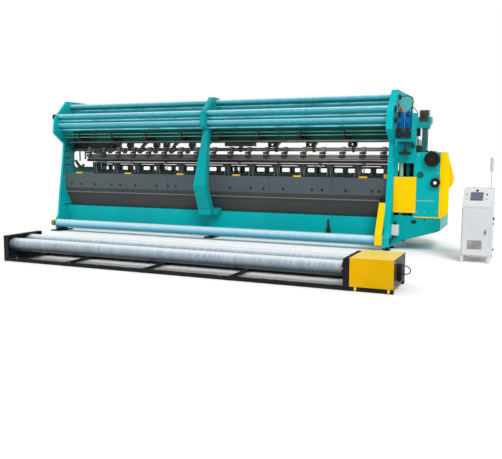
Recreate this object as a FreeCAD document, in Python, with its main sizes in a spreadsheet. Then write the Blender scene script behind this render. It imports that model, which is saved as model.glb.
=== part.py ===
import FreeCAD, Part
import math
import os
import re
import sys

import Sketcher
from FreeCAD import Placement, Rotation, Vector

# Raschel net knitting machine with its floor winder and its control cabinet.
# X runs along the machine, +Y goes away from the operator, +Z is up. The origin
# lies under the centre foot, on the floor. Lengths are in millimetres.

SIZES = [
    # clearances
    ("run_gap", 0.7, "between a turning shaft and its bore, on the radius"),
    ("slide_gap", 0.5, "between sliding or swinging flat faces"),
    # end stands
    ("half_span", 3285, "inner face of each end stand from the middle"),
    ("stand_width", 105, "width of the right stand's casting along X"),
    ("left_width", 45, "width of the left stand's casting along X"),
    ("recess_depth", 50, "depth of the pocket cast in the right stand's outer side"),
    ("foot_height", 60, "underside of the stands above the floor"),
    ("foot_plate", 24, "plate under a foot"),
    ("foot_screw", 20, "levelling screw, on the radius"),
    ("foot_pad", 62, "round pad under a levelling screw, on the radius"),
    ("left_plate_reach", 88, "base plate past each side of the left stand"),
    ("head_height", 850, "stand heads above the neck"),
    ("peak_y", 120, "front end of the head's level top edge"),
    ("head_back", 1640, "rear end of the head"),
    ("head_back_drop", 420, "lower corner of the head's rear end below its top"),
    ("nose_y", -285, "foremost point of the nose"),
    ("nose_cut", 34, "top of the nose's front edge below the middle feed roller"),
    ("nose_rise", 200, "lower end of the nose's front edge above the neck"),
    ("neck_y", 10, "neck under the nose"),
    ("neck_z", 1750, "height of the neck"),
    ("column_y", -50, "front edge of the stand at the sill"),
    ("sill_z", 1320, "height of the sill"),
    ("toe_y", -300, "front end of the toe"),
    ("toe_top", 200, "height of the toe's front edge"),
    ("column_back", 1420, "rear edge of the stand's column"),
    ("heel_back", 1540, "rear end of the heel"),
    ("arch_front", 200, "front end of the arch under a stand"),
    ("arch_back", 1050, "rear end of the arch under a stand"),
    ("arch_top", 170, "height of the arch under a stand"),
    ("window_front", 310, "front edge of the stand's window"),
    ("window_back", 1100, "rear edge of the stand's window"),
    ("window_low", 1270, "lower edge of the stand's window"),
    ("window_drop", 150, "upper edge of the stand's window below the neck"),
    ("corner_round", 70, "round at the window's corners"),
    # feed rollers and guide rods
    ("feed_radius", 52.6, "feed roller"),
    ("feed_1_y", 250, "upper feed roller"),
    ("feed_1_drop", 110, "upper feed roller below the head's top"),
    ("feed_2_y", -127, "middle feed roller"),
    ("feed_2_drop", 216, "middle feed roller below the upper one"),
    ("feed_3_y", -115, "lower feed roller"),
    ("feed_3_drop", 176, "lower feed roller below the middle one"),
    ("roller_end_gap", 2, "from a roller's end to its stand"),
    ("journal_radius", 20, "roller journals"),
    ("bearing_radius", 45, "flange bearing"),
    ("bearing_width", 28, "flange bearing at the right stand"),
    ("left_bearing", 88, "flange bearing at the left stand"),
    ("guide_rod_radius", 17, "fixed yarn guide rod under a feed roller"),
    ("guide_rod_drop", 76, "guide rod below its feed roller"),
    # take-down
    ("bottom_y", -250, "fabric roller at the floor"),
    ("bottom_z", 160, "fabric roller at the floor"),
    ("bottom_radius", 78, "fabric roller at the floor"),
    ("take_down_y", 560, "take-down roller"),
    ("take_down_z", 700, "take-down roller"),
    ("take_down_radius", 62, "take-down roller"),
    # beams and sump
    ("base_front", 100, "front face of the base beam"),
    ("base_depth", 300, "base beam along Y"),
    ("base_low", 190, "underside of the base beam"),
    ("base_gap", 5, "from the base beam up to the sump"),
    ("beam_wall", 20, "walls of the beams"),
    ("top_front", 300, "front face of the top beam"),
    ("top_depth", 180, "top beam along Y"),
    ("top_rise", 10, "underside of the top beam above the neck"),
    ("top_height", 270, "top beam"),
    ("rear_beam_front", 800, "front face of the rear beam between the stands' heads"),
    ("rear_beam_depth", 120, "rear beam along Y"),
    ("rear_beam_drop", 100, "top of the rear beam below the stands' heads"),
    ("rear_beam_height", 440, "rear beam"),
    ("sump_top", 1157, "top shelf of the sump"),
    ("band_height", 288, "upright front band of the sump"),
    ("shelf_depth", 330, "sump's top shelf along Y"),
    ("sump_wall", 12, "sump plate"),
    ("bead_y", 52, "rail on the sump's sloping front"),
    ("bead_drop", 367, "rail on the sump's sloping front below the shelf"),
    ("sump_foot_y", 190, "lower front edge of the sump"),
    ("sump_height", 652, "sump from its lower front edge to its shelf"),
    ("cap_start", 339, "first cover cap from the left stand"),
    ("cap_end", 421, "last cover cap from the right stand"),
    ("cap_count", 6, "caps in the row"),
    ("cap_width", 140, "cap along X"),
    ("cap_depth", 62, "cap along Y"),
    ("cap_height", 26, "cap above the shelf"),
    ("end_cap_gap", 40, "single cap from the right stand"),
    # centre strut
    ("strut_width", 240, "strut along X at its elbow"),
    ("strut_top_width", 92, "strut along X at its head"),
    ("strut_depth", 130, "strut along Y"),
    ("elbow_y", -395, "front of the strut at its elbow"),
    ("elbow_z", 980, "height of the elbow"),
    ("waist_y", -262, "front of the strut over the sump"),
    ("waist_rise", 500, "that point above the elbow"),
    ("throat_y", -130, "front of the strut under its head"),
    ("throat_drop", 113, "throat below the lower feed roller"),
    ("strut_foot_y", -195, "front of the strut's foot"),
    ("strut_foot_rise", 30, "strut's foot above the base beam"),
    ("strut_tip_drop", 18, "strut's head below the tops of the stands"),
    ("foot_flange", 420, "strut's foot flange along X"),
    # knitting zone
    ("plate_front", 240, "front of the trick plate casting"),
    ("plate_depth", 60, "trick plate casting along Y"),
    ("plate_height", 228, "trick plate casting above the shelf"),
    ("zone_gap", 455, "knitting zone from the left stand"),
    ("plate_start", 515, "left end of the trick plate casting from the left stand"),
    ("opening_start", 825, "middle of the first opening from the left stand"),
    ("opening_end", 333, "middle of the last opening from the right stand"),
    ("opening_count", 12, "arched openings"),
    ("opening_pier", 80, "pier between two openings"),
    ("opening_sill", 48, "lower edge of an arched opening above the shelf"),
    ("opening_crown", 34, "casting above an arched opening's crown"),
    ("opening_round", 60, "corner of an arched opening"),
    ("swing_y", 250, "swing shaft"),
    ("swing_drop", 126, "swing shaft below the top beam"),
    ("swing_radius", 33, "swing shaft"),
    ("arm_start", 469, "first guide bar arm from the left stand"),
    ("arm_end", 117, "last guide bar arm from the right stand"),
    ("arm_count", 18, "guide bar arms"),
    ("arm_thick", 24, "guide bar arm along X"),
    ("clamp_size", 92, "square clamp round the swing shaft"),
    ("clamp_width", 56, "clamp along X"),
    ("bar_gap", 45, "from a guide bar's right end to its stand"),
    ("bar_depth", 30, "guide bar along Y"),
    ("rear_bar_y", 185, "front of the rear guide bar"),
    ("rear_bar_drop", 153, "underside of the rear guide bar below the swing shaft"),
    ("rear_bar_height", 67, "rear guide bar"),
    ("front_bar_y", 130, "front of the front guide bar"),
    ("front_bar_drop", 236, "underside of the front guide bar below the swing shaft"),
    ("front_bar_height", 64, "front guide bar"),
    ("hanger_count", 8, "shaft hangers, one in every second gap between arms"),
    ("hanger_thick", 34, "shaft hanger along X"),
    ("hanger_ring", 56, "ring of a shaft hanger, outer radius"),
    ("tackle_left", 260, "left end of the block over the swing shaft"),
    ("tackle_right", 820, "right end of the block over the swing shaft"),
    ("tackle_front", 130, "front face of that block"),
    ("tackle_height", 70, "that block"),
    ("hook_start", 368, "first tension bracket from the left stand"),
    ("hook_end", 763, "last tension bracket from the right stand"),
    ("hook_count", 8, "tension brackets"),
    ("hook_thick", 22, "tension bracket along X"),
    ("hook_reach", 20, "front face of a tension bracket's post, before Y 0"),
    ("hook_post", 28, "rear face of a tension bracket's post"),
    ("tension_radius", 8, "yarn tension rod"),
    ("tension_rise", 175, "upper tension rod above the top beam's underside"),
    ("tension_pitch", 60, "lower tension rod below the upper one"),
    ("reed_y", 80, "front of the yarn reed's bar"),
    ("reed_rise", 8, "underside of the reed's bar above the top beam's"),
    ("reed_depth", 28, "yarn reed's bar along Y"),
    ("reed_height", 26, "yarn reed's bar"),
    ("needle_bar_y", 322, "front of the needle bar"),
    ("needle_bar_depth", 34, "needle bar along Y"),
    ("needle_bar_rise", 7, "underside of the needle bar above the trick plate's top"),
    ("needle_bar_height", 36, "needle bar"),
    ("lifter_radius", 11, "needle bar lifter rod"),
    ("lifter_gap", 17, "lifter rod above its eccentric"),
    ("cam_start", 555, "outer cam box from its stand"),
    ("cam_count", 8, "cam boxes"),
    ("cam_thick", 44, "cam box web along X"),
    ("cam_offset", 70, "lifter rod beside its cam box"),
    ("guide_rail_thick", 12, "rail behind the cam boxes along Y"),
    ("guide_rail_low", 15, "underside of that rail above the shelf"),
    ("guide_rail_height", 168, "that rail"),
    ("rail_window_width", 150, "window in that rail along X"),
    ("rail_window_height", 70, "window in that rail"),
    ("rail_window_rise", 62, "lower edge of the windows above the rail's underside"),
    ("rail_window_count", 24, "windows in the rail"),
    ("main_shaft_y", 365, "main shaft"),
    ("main_shaft_drop", 207, "main shaft below the sump's shelf"),
    ("main_shaft_radius", 27, "main shaft"),
    ("eccentric_radius", 52, "eccentric on the main shaft"),
    ("eccentric_throw", 8, "eccentric off the shaft's axis"),
    # head stock at the right end
    ("stock_width", 340, "head stock along X"),
    ("stock_front", -50, "front face of the head stock"),
    ("stock_back", 1020, "rear face of the head stock"),
    ("stock_rise", 50, "shelf of the head stock above the stands' necks"),
    ("stock_wall", 14, "walls of the head stock"),
    ("post_width", 82, "post at the outer side of the motor bay"),
    ("post_height", 406, "that post above the shelf"),
    ("sight_margin", 62, "opening in the head stock's front, from the stand"),
    ("sight_edge", 24, "opening in the head stock's front, from its outer face"),
    ("sight_rise", 6, "lower edge of that opening above the yellow panel"),
    ("sight_height", 216, "that opening"),
    ("slot_height", 46, "slot in the head stock's front, under the yellow panel"),
    ("spindle_radius", 35, "upright gear spindles inside the head stock"),
    ("spindle_y", 50, "those spindles"),
    ("spindle_in", 100, "first spindle from the stand's outer face"),
    ("spindle_pitch", 110, "from spindle to spindle"),
    ("spindle_height", 945, "those spindles"),
    ("panel_margin", 2, "yellow front panel from the stand's outer face"),
    ("panel_lap", 22, "yellow front panel past the head stock's outer face"),
    ("panel_rise", 58, "yellow front panel above the gearbox's underside"),
    ("panel_height", 577, "yellow front panel"),
    ("panel_thick", 16, "yellow front panel"),
    ("gear_width", 385, "gearbox along X"),
    ("gear_low", 555, "underside of the gearbox"),
    ("gear_drop", 210, "top of the gearbox below the head stock's shelf"),
    ("gear_round", 45, "round along the gearbox's upper front edge"),
    ("cover_thick", 30, "yellow side cover of the gearbox"),
    ("cover_round", 400, "round at the cover's upper rear corner"),
    ("tray_drop", 14, "yellow strip under the gearbox"),
    ("bracket_tip_z", 330, "outer end of the bracket's underside"),
    ("bracket_knee_in", 140, "knee of the bracket's underside from the stand"),
    ("bracket_knee_z", 145, "knee of the bracket's underside"),
    ("wheel_in", 260, "hand wheel from the head stock's outer face"),
    ("wheel_drop", 115, "hand wheel below the gearbox's top"),
    ("wheel_radius", 122, "hand wheel on the gearbox"),
    ("pulley_in", 320, "feed pulley from the head stock's outer face"),
    ("pulley_drop", 485, "feed pulley below the gearbox's top"),
    ("pulley_radius", 75, "feed pulley on the gearbox"),
    ("stub_length", 20, "shaft stub of a wheel inside the gearbox"),
    ("wheel_stub", 24, "shaft stub of the hand wheel, on the radius"),
    ("pulley_stub", 18, "shaft stub of the feed pulley, on the radius"),
    ("glass_in", 81, "oil glass from the head stock's outer face"),
    ("glass_drop", 362, "oil glass below the gearbox's top"),
    ("glass_radius", 44, "oil glass on the gearbox"),
    ("guard_in", 255, "motor pulley from the head stock's outer face"),
    ("guard_side", 30, "gearbox pulleys beside the motor pulley"),
    ("guard_drop", 460, "large pulley under the belt guard below the gearbox's top"),
    ("guard_radius", 200, "belt guard's round at the large pulley"),
    ("guard_top_drop", 100, "upper pulley under the belt guard below the gearbox's top"),
    ("guard_top_radius", 100, "belt guard's upper round"),
    ("guard_depth", 120, "belt guard along Y"),
    ("guard_foot_radius", 100, "belt guard's lower round"),
    ("guard_foot_z", 414, "lower pulley under the belt guard, on the motor's shaft"),
    ("motor_radius", 105, "main motor"),
    ("motor_length", 420, "main motor"),
    ("feed_motor_radius", 58, "feed motor"),
    ("feed_motor_length", 262, "feed motor"),
    ("feed_motor_y", 30, "feed motors"),
    ("feed_motor_in", 72, "first feed motor from the stand's outer face"),
    ("feed_motor_pitch", 128, "from feed motor to feed motor"),
    ("gear_unit_height", 158, "gear unit under a feed motor"),
    ("gear_unit_width", 116, "gear unit under a feed motor"),
    ("adjust_in", 185, "adjusting wheel from the stand's outer face"),
    ("adjust_y", -165, "adjusting wheel"),
    ("adjust_drop", 255, "underside of the adjusting wheel below the shelf"),
    ("adjust_radius", 106, "adjusting wheel"),
    ("adjust_height", 46, "adjusting wheel's rim"),
    ("adjust_bar_drop", 78, "bar that carries the adjusting wheel below the shelf"),
    ("adjust_bar_height", 26, "that bar"),
    ("drum_in", 83, "pattern column from the head stock's outer face"),
    ("drum_width", 74, "pattern column along X"),
    ("drum_height", 378, "pattern column on the gearbox"),
    ("drum_depth", 150, "pattern column along Y"),
    ("cradle_reach", 221, "cradle of the pattern drive past the head stock"),
    ("cradle_height", 173, "cradle of the pattern drive"),
    ("encoder_rise", 282, "encoder's case above the pattern column"),
    ("chain_width", 106, "yellow chain guard along X"),
    ("chain_top", 770, "yellow chain guard"),
    ("chain_low", 100, "yellow chain guard"),
    ("chain_box", 60, "case on top of the chain guard"),
    ("junction_in", 0, "white junction box from the stand's outer face"),
    ("junction_width", 110, "white junction box along X"),
    ("junction_low", 240, "white junction box"),
    ("junction_height", 175, "white junction box"),
    ("junction_depth", 62, "white junction box"),
    # winder on the floor in front
    ("winder_length", 4983, "winder from the outer face of its left plate to the right one"),
    ("winder_right", 3524, "inner face of the winder's right plate"),
    ("winder_front", -3605, "front of the winder"),
    ("winder_depth", 706, "winder along Y"),
    ("winder_plate_top", 367, "top of the winder's end plates"),
    ("winder_plate_width", 76, "flanges of the end plates along X"),
    ("winder_wall", 14, "end plate"),
    ("rail_width", 44, "winder rails along Y"),
    ("rail_height", 42, "winder rails"),
    ("rail_pad", 8, "pads under the winder's rails"),
    ("cross_start", 1059, "first cross member from the winder's left end"),
    ("cross_pitch", 1247, "from cross member to cross member"),
    ("cross_width", 34, "cross member along X"),
    ("end_cross_in", 219, "cross member beside the left plate"),
    ("winder_radius", 91.3, "winder rollers"),
    ("winder_1_in", 177, "front winder roller behind the winder's front"),
    ("winder_1_z", 225, "front winder roller"),
    ("winder_2_in", 495, "rear winder roller behind the winder's front"),
    ("winder_2_z", 249, "rear winder roller"),
    ("winder_journal", 22, "journals of the winder rollers"),
    ("drive_width", 498, "winder's drive box along X"),
    ("drive_low", 52, "underside of the drive box"),
    ("drive_height", 328, "winder's drive box"),
    ("winder_motor_in", 275, "winder motor behind the winder's front"),
    ("winder_motor_rise", 153, "winder motor above the drive box's underside"),
    ("winder_motor_radius", 98, "winder motor"),
    ("winder_motor_length", 48, "winder motor outside the box"),
    ("lead_radius", 6, "motor lead of the winder"),
    ("lead_rise", 260, "where the lead leaves the drive box, above the box's underside"),
    ("lead_reach", 128, "lead's loop outside the drive box"),
    ("lead_side", 100, "lead's loop along Y"),
    # control cabinet
    ("cabinet_gap", 400, "from the gearbox's side cover to the control cabinet"),
    ("cabinet_width", 410, "control cabinet along X"),
    ("cabinet_depth", 608, "control cabinet along Y"),
    ("cabinet_back", -317, "control cabinet"),
    ("cabinet_low", 98, "underside of the cabinet's body"),
    ("desk_z", 805, "seam between body and desk"),
    ("desk_height", 255, "desk above its seam"),
    ("desk_slope_depth", 245, "sloping panel along Y"),
    ("cabinet_wall", 9, "cabinet sheet with its folded edge"),
    ("door_border", 26, "frame left around the door's opening"),
    ("door_lap", 8, "door over the edge of its opening"),
    ("door_thick", 18, "cabinet door"),
    ("door_top_gap", 27, "top of the door's opening below the seam"),
    ("door_low_gap", 24, "lower edge of the door's opening above the body's underside"),
    ("hinge_radius", 7, "door hinge barrels"),
    ("hinge_length", 46, "door hinge barrels"),
    ("hinge_low_z", 230, "lower hinge"),
    ("hinge_high_z", 620, "upper hinge"),
    ("lock_edge", 81, "door handle from the cabinet's right side"),
    ("handle_width", 22, "door handle along X"),
    ("handle_height", 58, "door handle"),
    ("handle_thick", 16, "door handle along Y"),
    ("lock_z", 446, "door handle"),
    ("screen_offset", 18, "middle of the screen left of the cabinet's middle"),
    ("screen_up", 188, "middle of the screen up the slope"),
    ("screen_width", 158, "screen"),
    ("screen_height", 138, "screen up the slope"),
    ("screen_thick", 8, "screen bezel"),
    ("button_in", 51, "left pair of buttons from the cabinet's left side"),
    ("button_edge", 87, "right pair of buttons from the cabinet's right side"),
    ("button_up_low", 142, "lower buttons up the slope"),
    ("button_up_high", 228, "upper buttons up the slope"),
    ("button_radius", 11, "push button"),
    ("button_height", 10, "push button above its panel"),
    ("button_root", 8, "push button inside its well"),
    ("button_travel", 4, "push button's travel"),
    ("knob_up", 300, "selector knob up the slope"),
    ("knob_radius", 17, "selector knob"),
    ("stop_z", 545, "emergency stop on the cabinet's side"),
    ("stop_stem", 8, "emergency stop's stem, on the radius"),
    ("stop_radius", 15, "emergency stop"),
    ("switch_in", 285, "main switch behind the cabinet's front"),
    ("switch_z", 622, "main switch on the cabinet's side"),
    ("lamp_in", 45, "signal lamp from the cabinet's right side"),
    ("lamp_back", 283, "signal lamp before the cabinet's rear"),
    ("pole_height", 253, "the lamp's pole above the desk"),
    ("lamp_height", 194, "signal lamp above its pole"),
    ("lamp_radius", 24, "signal lamp"),
]

# heights and places that follow from the sizes
PLACES = {
    "stand_out": "half_span + stand_width",
    "left_out": "half_span + left_width",
    "head_top": "neck_z + head_height",
    "head_back_low": "head_top - head_back_drop",
    "nose_low": "neck_z + nose_rise",
    "window_high": "neck_z - window_drop",
    "feed_1_z": "head_top - feed_1_drop",
    "feed_2_z": "feed_1_z - feed_2_drop",
    "feed_3_z": "feed_2_z - feed_3_drop",
    "nose_top": "feed_2_z - nose_cut",
    "top_low": "neck_z + top_rise",
    "top_high": "top_low + top_height",
    "rear_beam_high": "head_top - rear_beam_drop",
    "rear_beam_low": "rear_beam_high - rear_beam_height",
    "sump_foot_z": "sump_top - sump_height",
    "base_high": "sump_foot_z - base_gap",
    "bead_z": "sump_top - bead_drop",
    "cap_first": "cap_start - half_span",
    "cap_pitch": "(2 * half_span - cap_start - cap_end) / (cap_count - 1)",
    "end_cap_x": "half_span - end_cap_gap",
    "waist_z": "elbow_z + waist_rise",
    "throat_z": "feed_3_z - throat_drop",
    "strut_tip_z": "head_top - strut_tip_drop",
    "strut_foot_z": "base_high + strut_foot_rise",
    "plate_top": "sump_top + plate_height",
    "opening_first": "opening_start - half_span",
    "opening_pitch": "(2 * half_span - opening_start - opening_end) / (opening_count - 1)",
    "opening_width": "opening_pitch - opening_pier",
    "opening_low": "sump_top + opening_sill",
    "opening_high": "plate_top - opening_crown",
    "swing_z": "top_low - swing_drop",
    "arm_first": "arm_start - half_span",
    "arm_pitch": "(2 * half_span - arm_start - arm_end) / (arm_count - 1)",
    "bar_left": "zone_gap - half_span",
    "bar_right": "half_span - bar_gap",
    "plate_left": "plate_start - half_span",
    "rear_bar_low": "swing_z - rear_bar_drop",
    "rear_bar_high": "rear_bar_low + rear_bar_height",
    "front_bar_low": "swing_z - front_bar_drop",
    "front_bar_high": "front_bar_low + front_bar_height",
    "hook_first": "hook_start - half_span",
    "hook_pitch": "(2 * half_span - hook_start - hook_end) / (hook_count - 1)",
    "tension_high": "top_low + tension_rise",
    "tension_low": "tension_high - tension_pitch",
    "reed_z": "top_low + reed_rise",
    "needle_bar_low": "plate_top + needle_bar_rise",
    "main_shaft_z": "sump_top - main_shaft_drop",
    "lifter_low": "main_shaft_z - eccentric_throw + eccentric_radius + lifter_gap",
    "cam_first": "cam_start - half_span",
    "cam_pitch": "2 * (half_span - cam_start) / (cam_count - 1)",
    "rail_low": "sump_top + guide_rail_low",
    "rail_window_low": "rail_low + rail_window_rise",
    "rail_window_pitch": "opening_pitch / 2",
    "rail_window_x": "opening_first - rail_window_pitch / 2",
    "stock_right": "stand_out + stock_width",
    "stock_high": "neck_z + stock_rise",
    "post_top": "stock_high + post_height",
    "stock_low": "gear_low - tray_drop",
    "gear_right": "stock_right + gear_width",
    "gear_high": "stock_high - gear_drop",
    "panel_left": "stand_out + panel_margin",
    "panel_right": "stock_right + panel_lap",
    "panel_low": "gear_low + panel_rise",
    "panel_high": "panel_low + panel_height",
    "sight_left": "stand_out + sight_margin",
    "sight_right": "stock_right - sight_edge",
    "sight_low": "panel_high + sight_rise",
    "sight_high": "sight_low + sight_height",
    "slot_high": "panel_low - 4",
    "bracket_knee_x": "stand_out + bracket_knee_in",
    "wheel_x": "stock_right + wheel_in",
    "wheel_z": "gear_high - wheel_drop",
    "pulley_x": "stock_right + pulley_in",
    "pulley_z": "gear_high - pulley_drop",
    "glass_x": "stock_right + glass_in",
    "glass_z": "gear_high - glass_drop",
    "guard_x": "stock_right + guard_in",
    "guard_pulley_x": "guard_x + guard_side",
    "guard_z": "gear_high - guard_drop",
    "guard_top_z": "gear_high - guard_top_drop",
    "feed_motor_x": "stand_out + feed_motor_in",
    "adjust_x": "stand_out + adjust_in",
    "adjust_z": "stock_high - adjust_drop",
    "adjust_bar_z": "stock_high - adjust_bar_drop",
    "drum_left": "stock_right + drum_in",
    "drum_right": "drum_left + drum_width",
    "drum_top": "gear_high + drum_height",
    "cradle_right": "stock_right + cradle_reach",
    "cradle_top": "drum_top + cradle_height",
    "encoder_top": "drum_top + encoder_rise",
    "junction_left": "stand_out + junction_in",
    "junction_right": "junction_left + junction_width",
    "junction_high": "junction_low + junction_height",
    "winder_left": "winder_right - winder_length",
    "winder_back": "winder_front + winder_depth",
    "cross_first": "winder_left + cross_start",
    "end_cross_x": "winder_left + end_cross_in",
    "winder_1_y": "winder_front + winder_1_in",
    "winder_2_y": "winder_front + winder_2_in",
    "drive_left": "winder_right + winder_plate_width",
    "drive_right": "drive_left + drive_width",
    "drive_high": "drive_low + drive_height",
    "winder_motor_y": "winder_front + winder_motor_in",
    "winder_motor_z": "drive_low + winder_motor_rise",
    "lead_z": "drive_low + lead_rise",
    "cabinet_left": "gear_right + cover_thick + cabinet_gap",
    "cabinet_right": "cabinet_left + cabinet_width",
    "cabinet_front": "cabinet_back - cabinet_depth",
    "desk_top": "desk_z + desk_height",
    "desk_slope_y": "cabinet_front + desk_slope_depth",
    "door_top": "desk_z - door_top_gap",
    "door_low": "cabinet_low + door_low_gap",
    "lock_x": "cabinet_right - lock_edge",
    "screen_x": "(cabinet_left + cabinet_right) / 2 - screen_offset",
    "button_left": "cabinet_left + button_in",
    "button_right": "cabinet_right - button_edge",
    "switch_y": "cabinet_front + switch_in",
    "lamp_x": "cabinet_right - lamp_in",
    "lamp_y": "cabinet_back - lamp_back",
    "pole_top": "desk_top + pole_height",
    "lamp_top": "pole_top + lamp_height",
}

document = FreeCAD.newDocument("KnittingMachine")
sheet = document.addObject("Spreadsheet::Sheet", "Sizes")
for row, (alias, number, meaning) in enumerate(SIZES, start=1):
    sheet.set(f"A{row}", str(number))
    sheet.setAlias(f"A{row}", alias)
    sheet.set(f"B{row}", meaning)
document.recompute()

NAMES = {alias for alias, number, meaning in SIZES}
NODES = []
# for each axis: the plane square to it, the sign of its normal, and whether a pad has to be turned round
PLANES = {"x": ("YZ_Plane", 1, False), "y": ("XZ_Plane", -1, True), "z": ("XY_Plane", 1, False)}
TURNS = {
    "x": Rotation(),
    "y": Rotation(Vector(0, 0, 1), 90),
    "z": Rotation(Vector(0, 1, 0), -90),
    "-x": Rotation(Vector(0, 0, 1), 180),
    "-y": Rotation(Vector(0, 0, 1), -90),
}
# the cabinet's sloping panel: along X, and up the slope
SLOPE = Rotation(Vector(1, 0, 0), 45)


def formula(text):
    """Write a formula in the sheet's names and the places the way the document wants it."""
    def spell(word):
        if word[0] in PLACES:
            return f"({formula(PLACES[word[0]])})"
        return "Sizes." + word[0] if word[0] in NAMES else word[0]
    return re.sub(r"[A-Za-z_]\w*", spell, str(text))


def value(text):
    return float(sheet.evalExpression(formula(text)))


def bind(item, prop, text):
    item.setExpression(prop, formula(text))


def place(item, x=0, y=0, z=0, turn=None):
    """Put an object at a place given by formulas."""
    item.Placement = Placement(Vector(value(x), value(y), value(z)), turn or Rotation())
    for axis, text in zip("xyz", (x, y, z)):
        bind(item, "Placement.Base." + axis, text)
    return item


def node(item, label):
    """Mark an object as a piece of the machine."""
    item.Label = label
    NODES.append(item)
    return item


def box(name, x, y, z):
    """A block between two formulas on each axis."""
    item = document.addObject("Part::Box", name)
    for prop, (low, high) in zip(("Length", "Width", "Height"), (x, y, z)):
        bind(item, prop, f"({high}) - ({low})")
    return place(item, x[0], y[0], z[0])


def rod(name, axis, x, y, z, radius, length):
    """A round bar that starts at a point and runs along an axis."""
    item = document.addObject("Part::Cylinder", name)
    bind(item, "Radius", radius)
    bind(item, "Height", length)
    turns = {"x": Rotation(Vector(0, 1, 0), 90), "y": Rotation(Vector(1, 0, 0), -90), "z": None}
    return place(item, x, y, z, turns[axis])


def compound(label, members):
    """Several separate solids of one kind in one piece."""
    item = document.addObject("Part::Compound", label)
    item.Links = members
    return item


def fuse(label, members):
    item = document.addObject("Part::MultiFuse", label)
    item.Shapes = members
    item.Refine = True
    return item


def cut(label, base, tool):
    item = document.addObject("Part::Cut", label)
    item.Base = base
    item.Tool = tool
    item.Refine = True
    return item


def body_of(label):
    body = document.addObject("PartDesign::Body", label)
    body.Label = label
    body.AllowCompound = True
    return body


def sketch_at(body, axis, at):
    """A sketch square to an axis, at a formula along it."""
    role, sign, _ = PLANES[axis]
    sketch = body.newObject("Sketcher::SketchObject", body.Name + "_sketch")
    plane = [item for item in body.Origin.OriginFeatures if item.Role == role][0]
    sketch.AttachmentSupport = [(plane, "")]
    sketch.MapMode = "FlatFace"
    bind(sketch, "AttachmentOffset.Base.z", f"{sign} * ({at})")
    return sketch


def fix(sketch, first, position, across, up):
    """Hold a point of a sketch at two formulas from its origin."""
    for kind, text in (("DistanceX", across), ("DistanceY", up)):
        number = sketch.addConstraint(Sketcher.Constraint(kind, -1, 1, first, position, value(text)))
        bind(sketch, f"Constraints[{number}]", text)


def outline(sketch, points):
    """A closed outline of straight lines through points given by formulas."""
    corners = [Vector(value(across), value(up), 0) for across, up in points]
    count = len(corners)
    first = sketch.GeometryCount
    for i in range(count):
        sketch.addGeometry(Part.LineSegment(corners[i], corners[(i + 1) % count]), False)
    for i in range(count):
        sketch.addConstraint(Sketcher.Constraint("Coincident", first + i, 2, first + (i + 1) % count, 1))
    for i, (across, up) in enumerate(points):
        fix(sketch, first + i, 1, across, up)


def hole(sketch, across, up, radius):
    """A circle in a sketch."""
    circle = Part.Circle(Vector(value(across), value(up), 0), Vector(0, 0, 1), value(radius))
    ring = sketch.addGeometry(circle)
    number = sketch.addConstraint(Sketcher.Constraint("Radius", ring, value(radius)))
    bind(sketch, f"Constraints[{number}]", radius)
    fix(sketch, ring, 3, across, up)


def rounded(sketch, left, right, low, high, radius):
    """A rectangle with round corners."""
    x0, x1, y0, y1, r = (value(text) for text in (left, right, low, high, radius))
    first = sketch.GeometryCount
    lines = [((x0 + r, y0), (x1 - r, y0)), ((x1, y0 + r), (x1, y1 - r)),
             ((x1 - r, y1), (x0 + r, y1)), ((x0, y1 - r), (x0, y0 + r))]
    centres = [(x1 - r, y0 + r), (x1 - r, y1 - r), (x0 + r, y1 - r), (x0 + r, y0 + r)]
    quarter = math.pi / 2
    geometry = [Part.LineSegment(Vector(*start, 0), Vector(*end, 0)) for start, end in lines]
    for i, centre in enumerate(centres):
        circle = Part.Circle(Vector(*centre, 0), Vector(0, 0, 1), r)
        geometry.append(Part.ArcOfCircle(circle, (i - 1) * quarter, i * quarter))
    sketch.addGeometry(geometry, False)
    rules = []
    for i in range(4):
        line, arc, following = first + i, first + 4 + i, first + (i + 1) % 4
        rules.append(Sketcher.Constraint("Tangent", line, 2, arc, 1))
        rules.append(Sketcher.Constraint("Tangent", arc, 2, following, 1))
        rules.append(Sketcher.Constraint("Horizontal" if i % 2 == 0 else "Vertical", line))
    rules += [Sketcher.Constraint("Equal", first + 4, first + 4 + i) for i in (1, 2, 3)]
    sketch.addConstraint(rules)
    number = sketch.addConstraint(Sketcher.Constraint("Radius", first + 4, r))
    bind(sketch, f"Constraints[{number}]", radius)
    for kind, line, text in (("DistanceY", 0, low), ("DistanceX", 1, right), ("DistanceY", 2, high),
                             ("DistanceX", 3, left)):
        number = sketch.addConstraint(Sketcher.Constraint(kind, -1, 1, first + line, 1, value(text)))
        bind(sketch, f"Constraints[{number}]", text)


def pad(body, sketch, axis, length):
    """Raise a sketch along its axis."""
    feature = body.newObject("PartDesign::Pad", body.Name + "_pad")
    feature.Profile = sketch
    feature.Reversed = PLANES[axis][2]
    bind(feature, "Length", length)
    sketch.Visibility = False
    return feature


def pocket(body, sketch, axis, depth):
    """Cut a sketch into the body, along the sketch's axis."""
    feature = body.newObject("PartDesign::Pocket", body.Name + "_pocket")
    feature.Profile = sketch
    feature.Reversed = not PLANES[axis][2]
    bind(feature, "Length", depth)
    return feature


def repeat(body, feature, sketch, span, count, direction="H_Axis"):
    """Copy a feature along one of its sketch's axes."""
    pattern = body.newObject("PartDesign::LinearPattern", body.Name + "_row")
    pattern.Originals = [feature]
    pattern.Direction = (sketch, [direction])
    bind(pattern, "Length", span)
    bind(pattern, "Occurrences", count)
    body.Tip = pattern
    return pattern


def round_edges(body, feature, radius, chosen):
    """Round the edges of a feature that a test picks."""
    document.recompute()
    names = [f"Edge{i}" for i, edge in enumerate(feature.Shape.Edges, start=1) if chosen(edge)]
    if not names:
        raise ValueError(f"{body.Label}: no edge to round")
    fillet = body.newObject("PartDesign::Fillet", body.Name + "_round")
    fillet.Base = (feature, names)
    bind(fillet, "Radius", radius)
    return fillet


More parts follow.
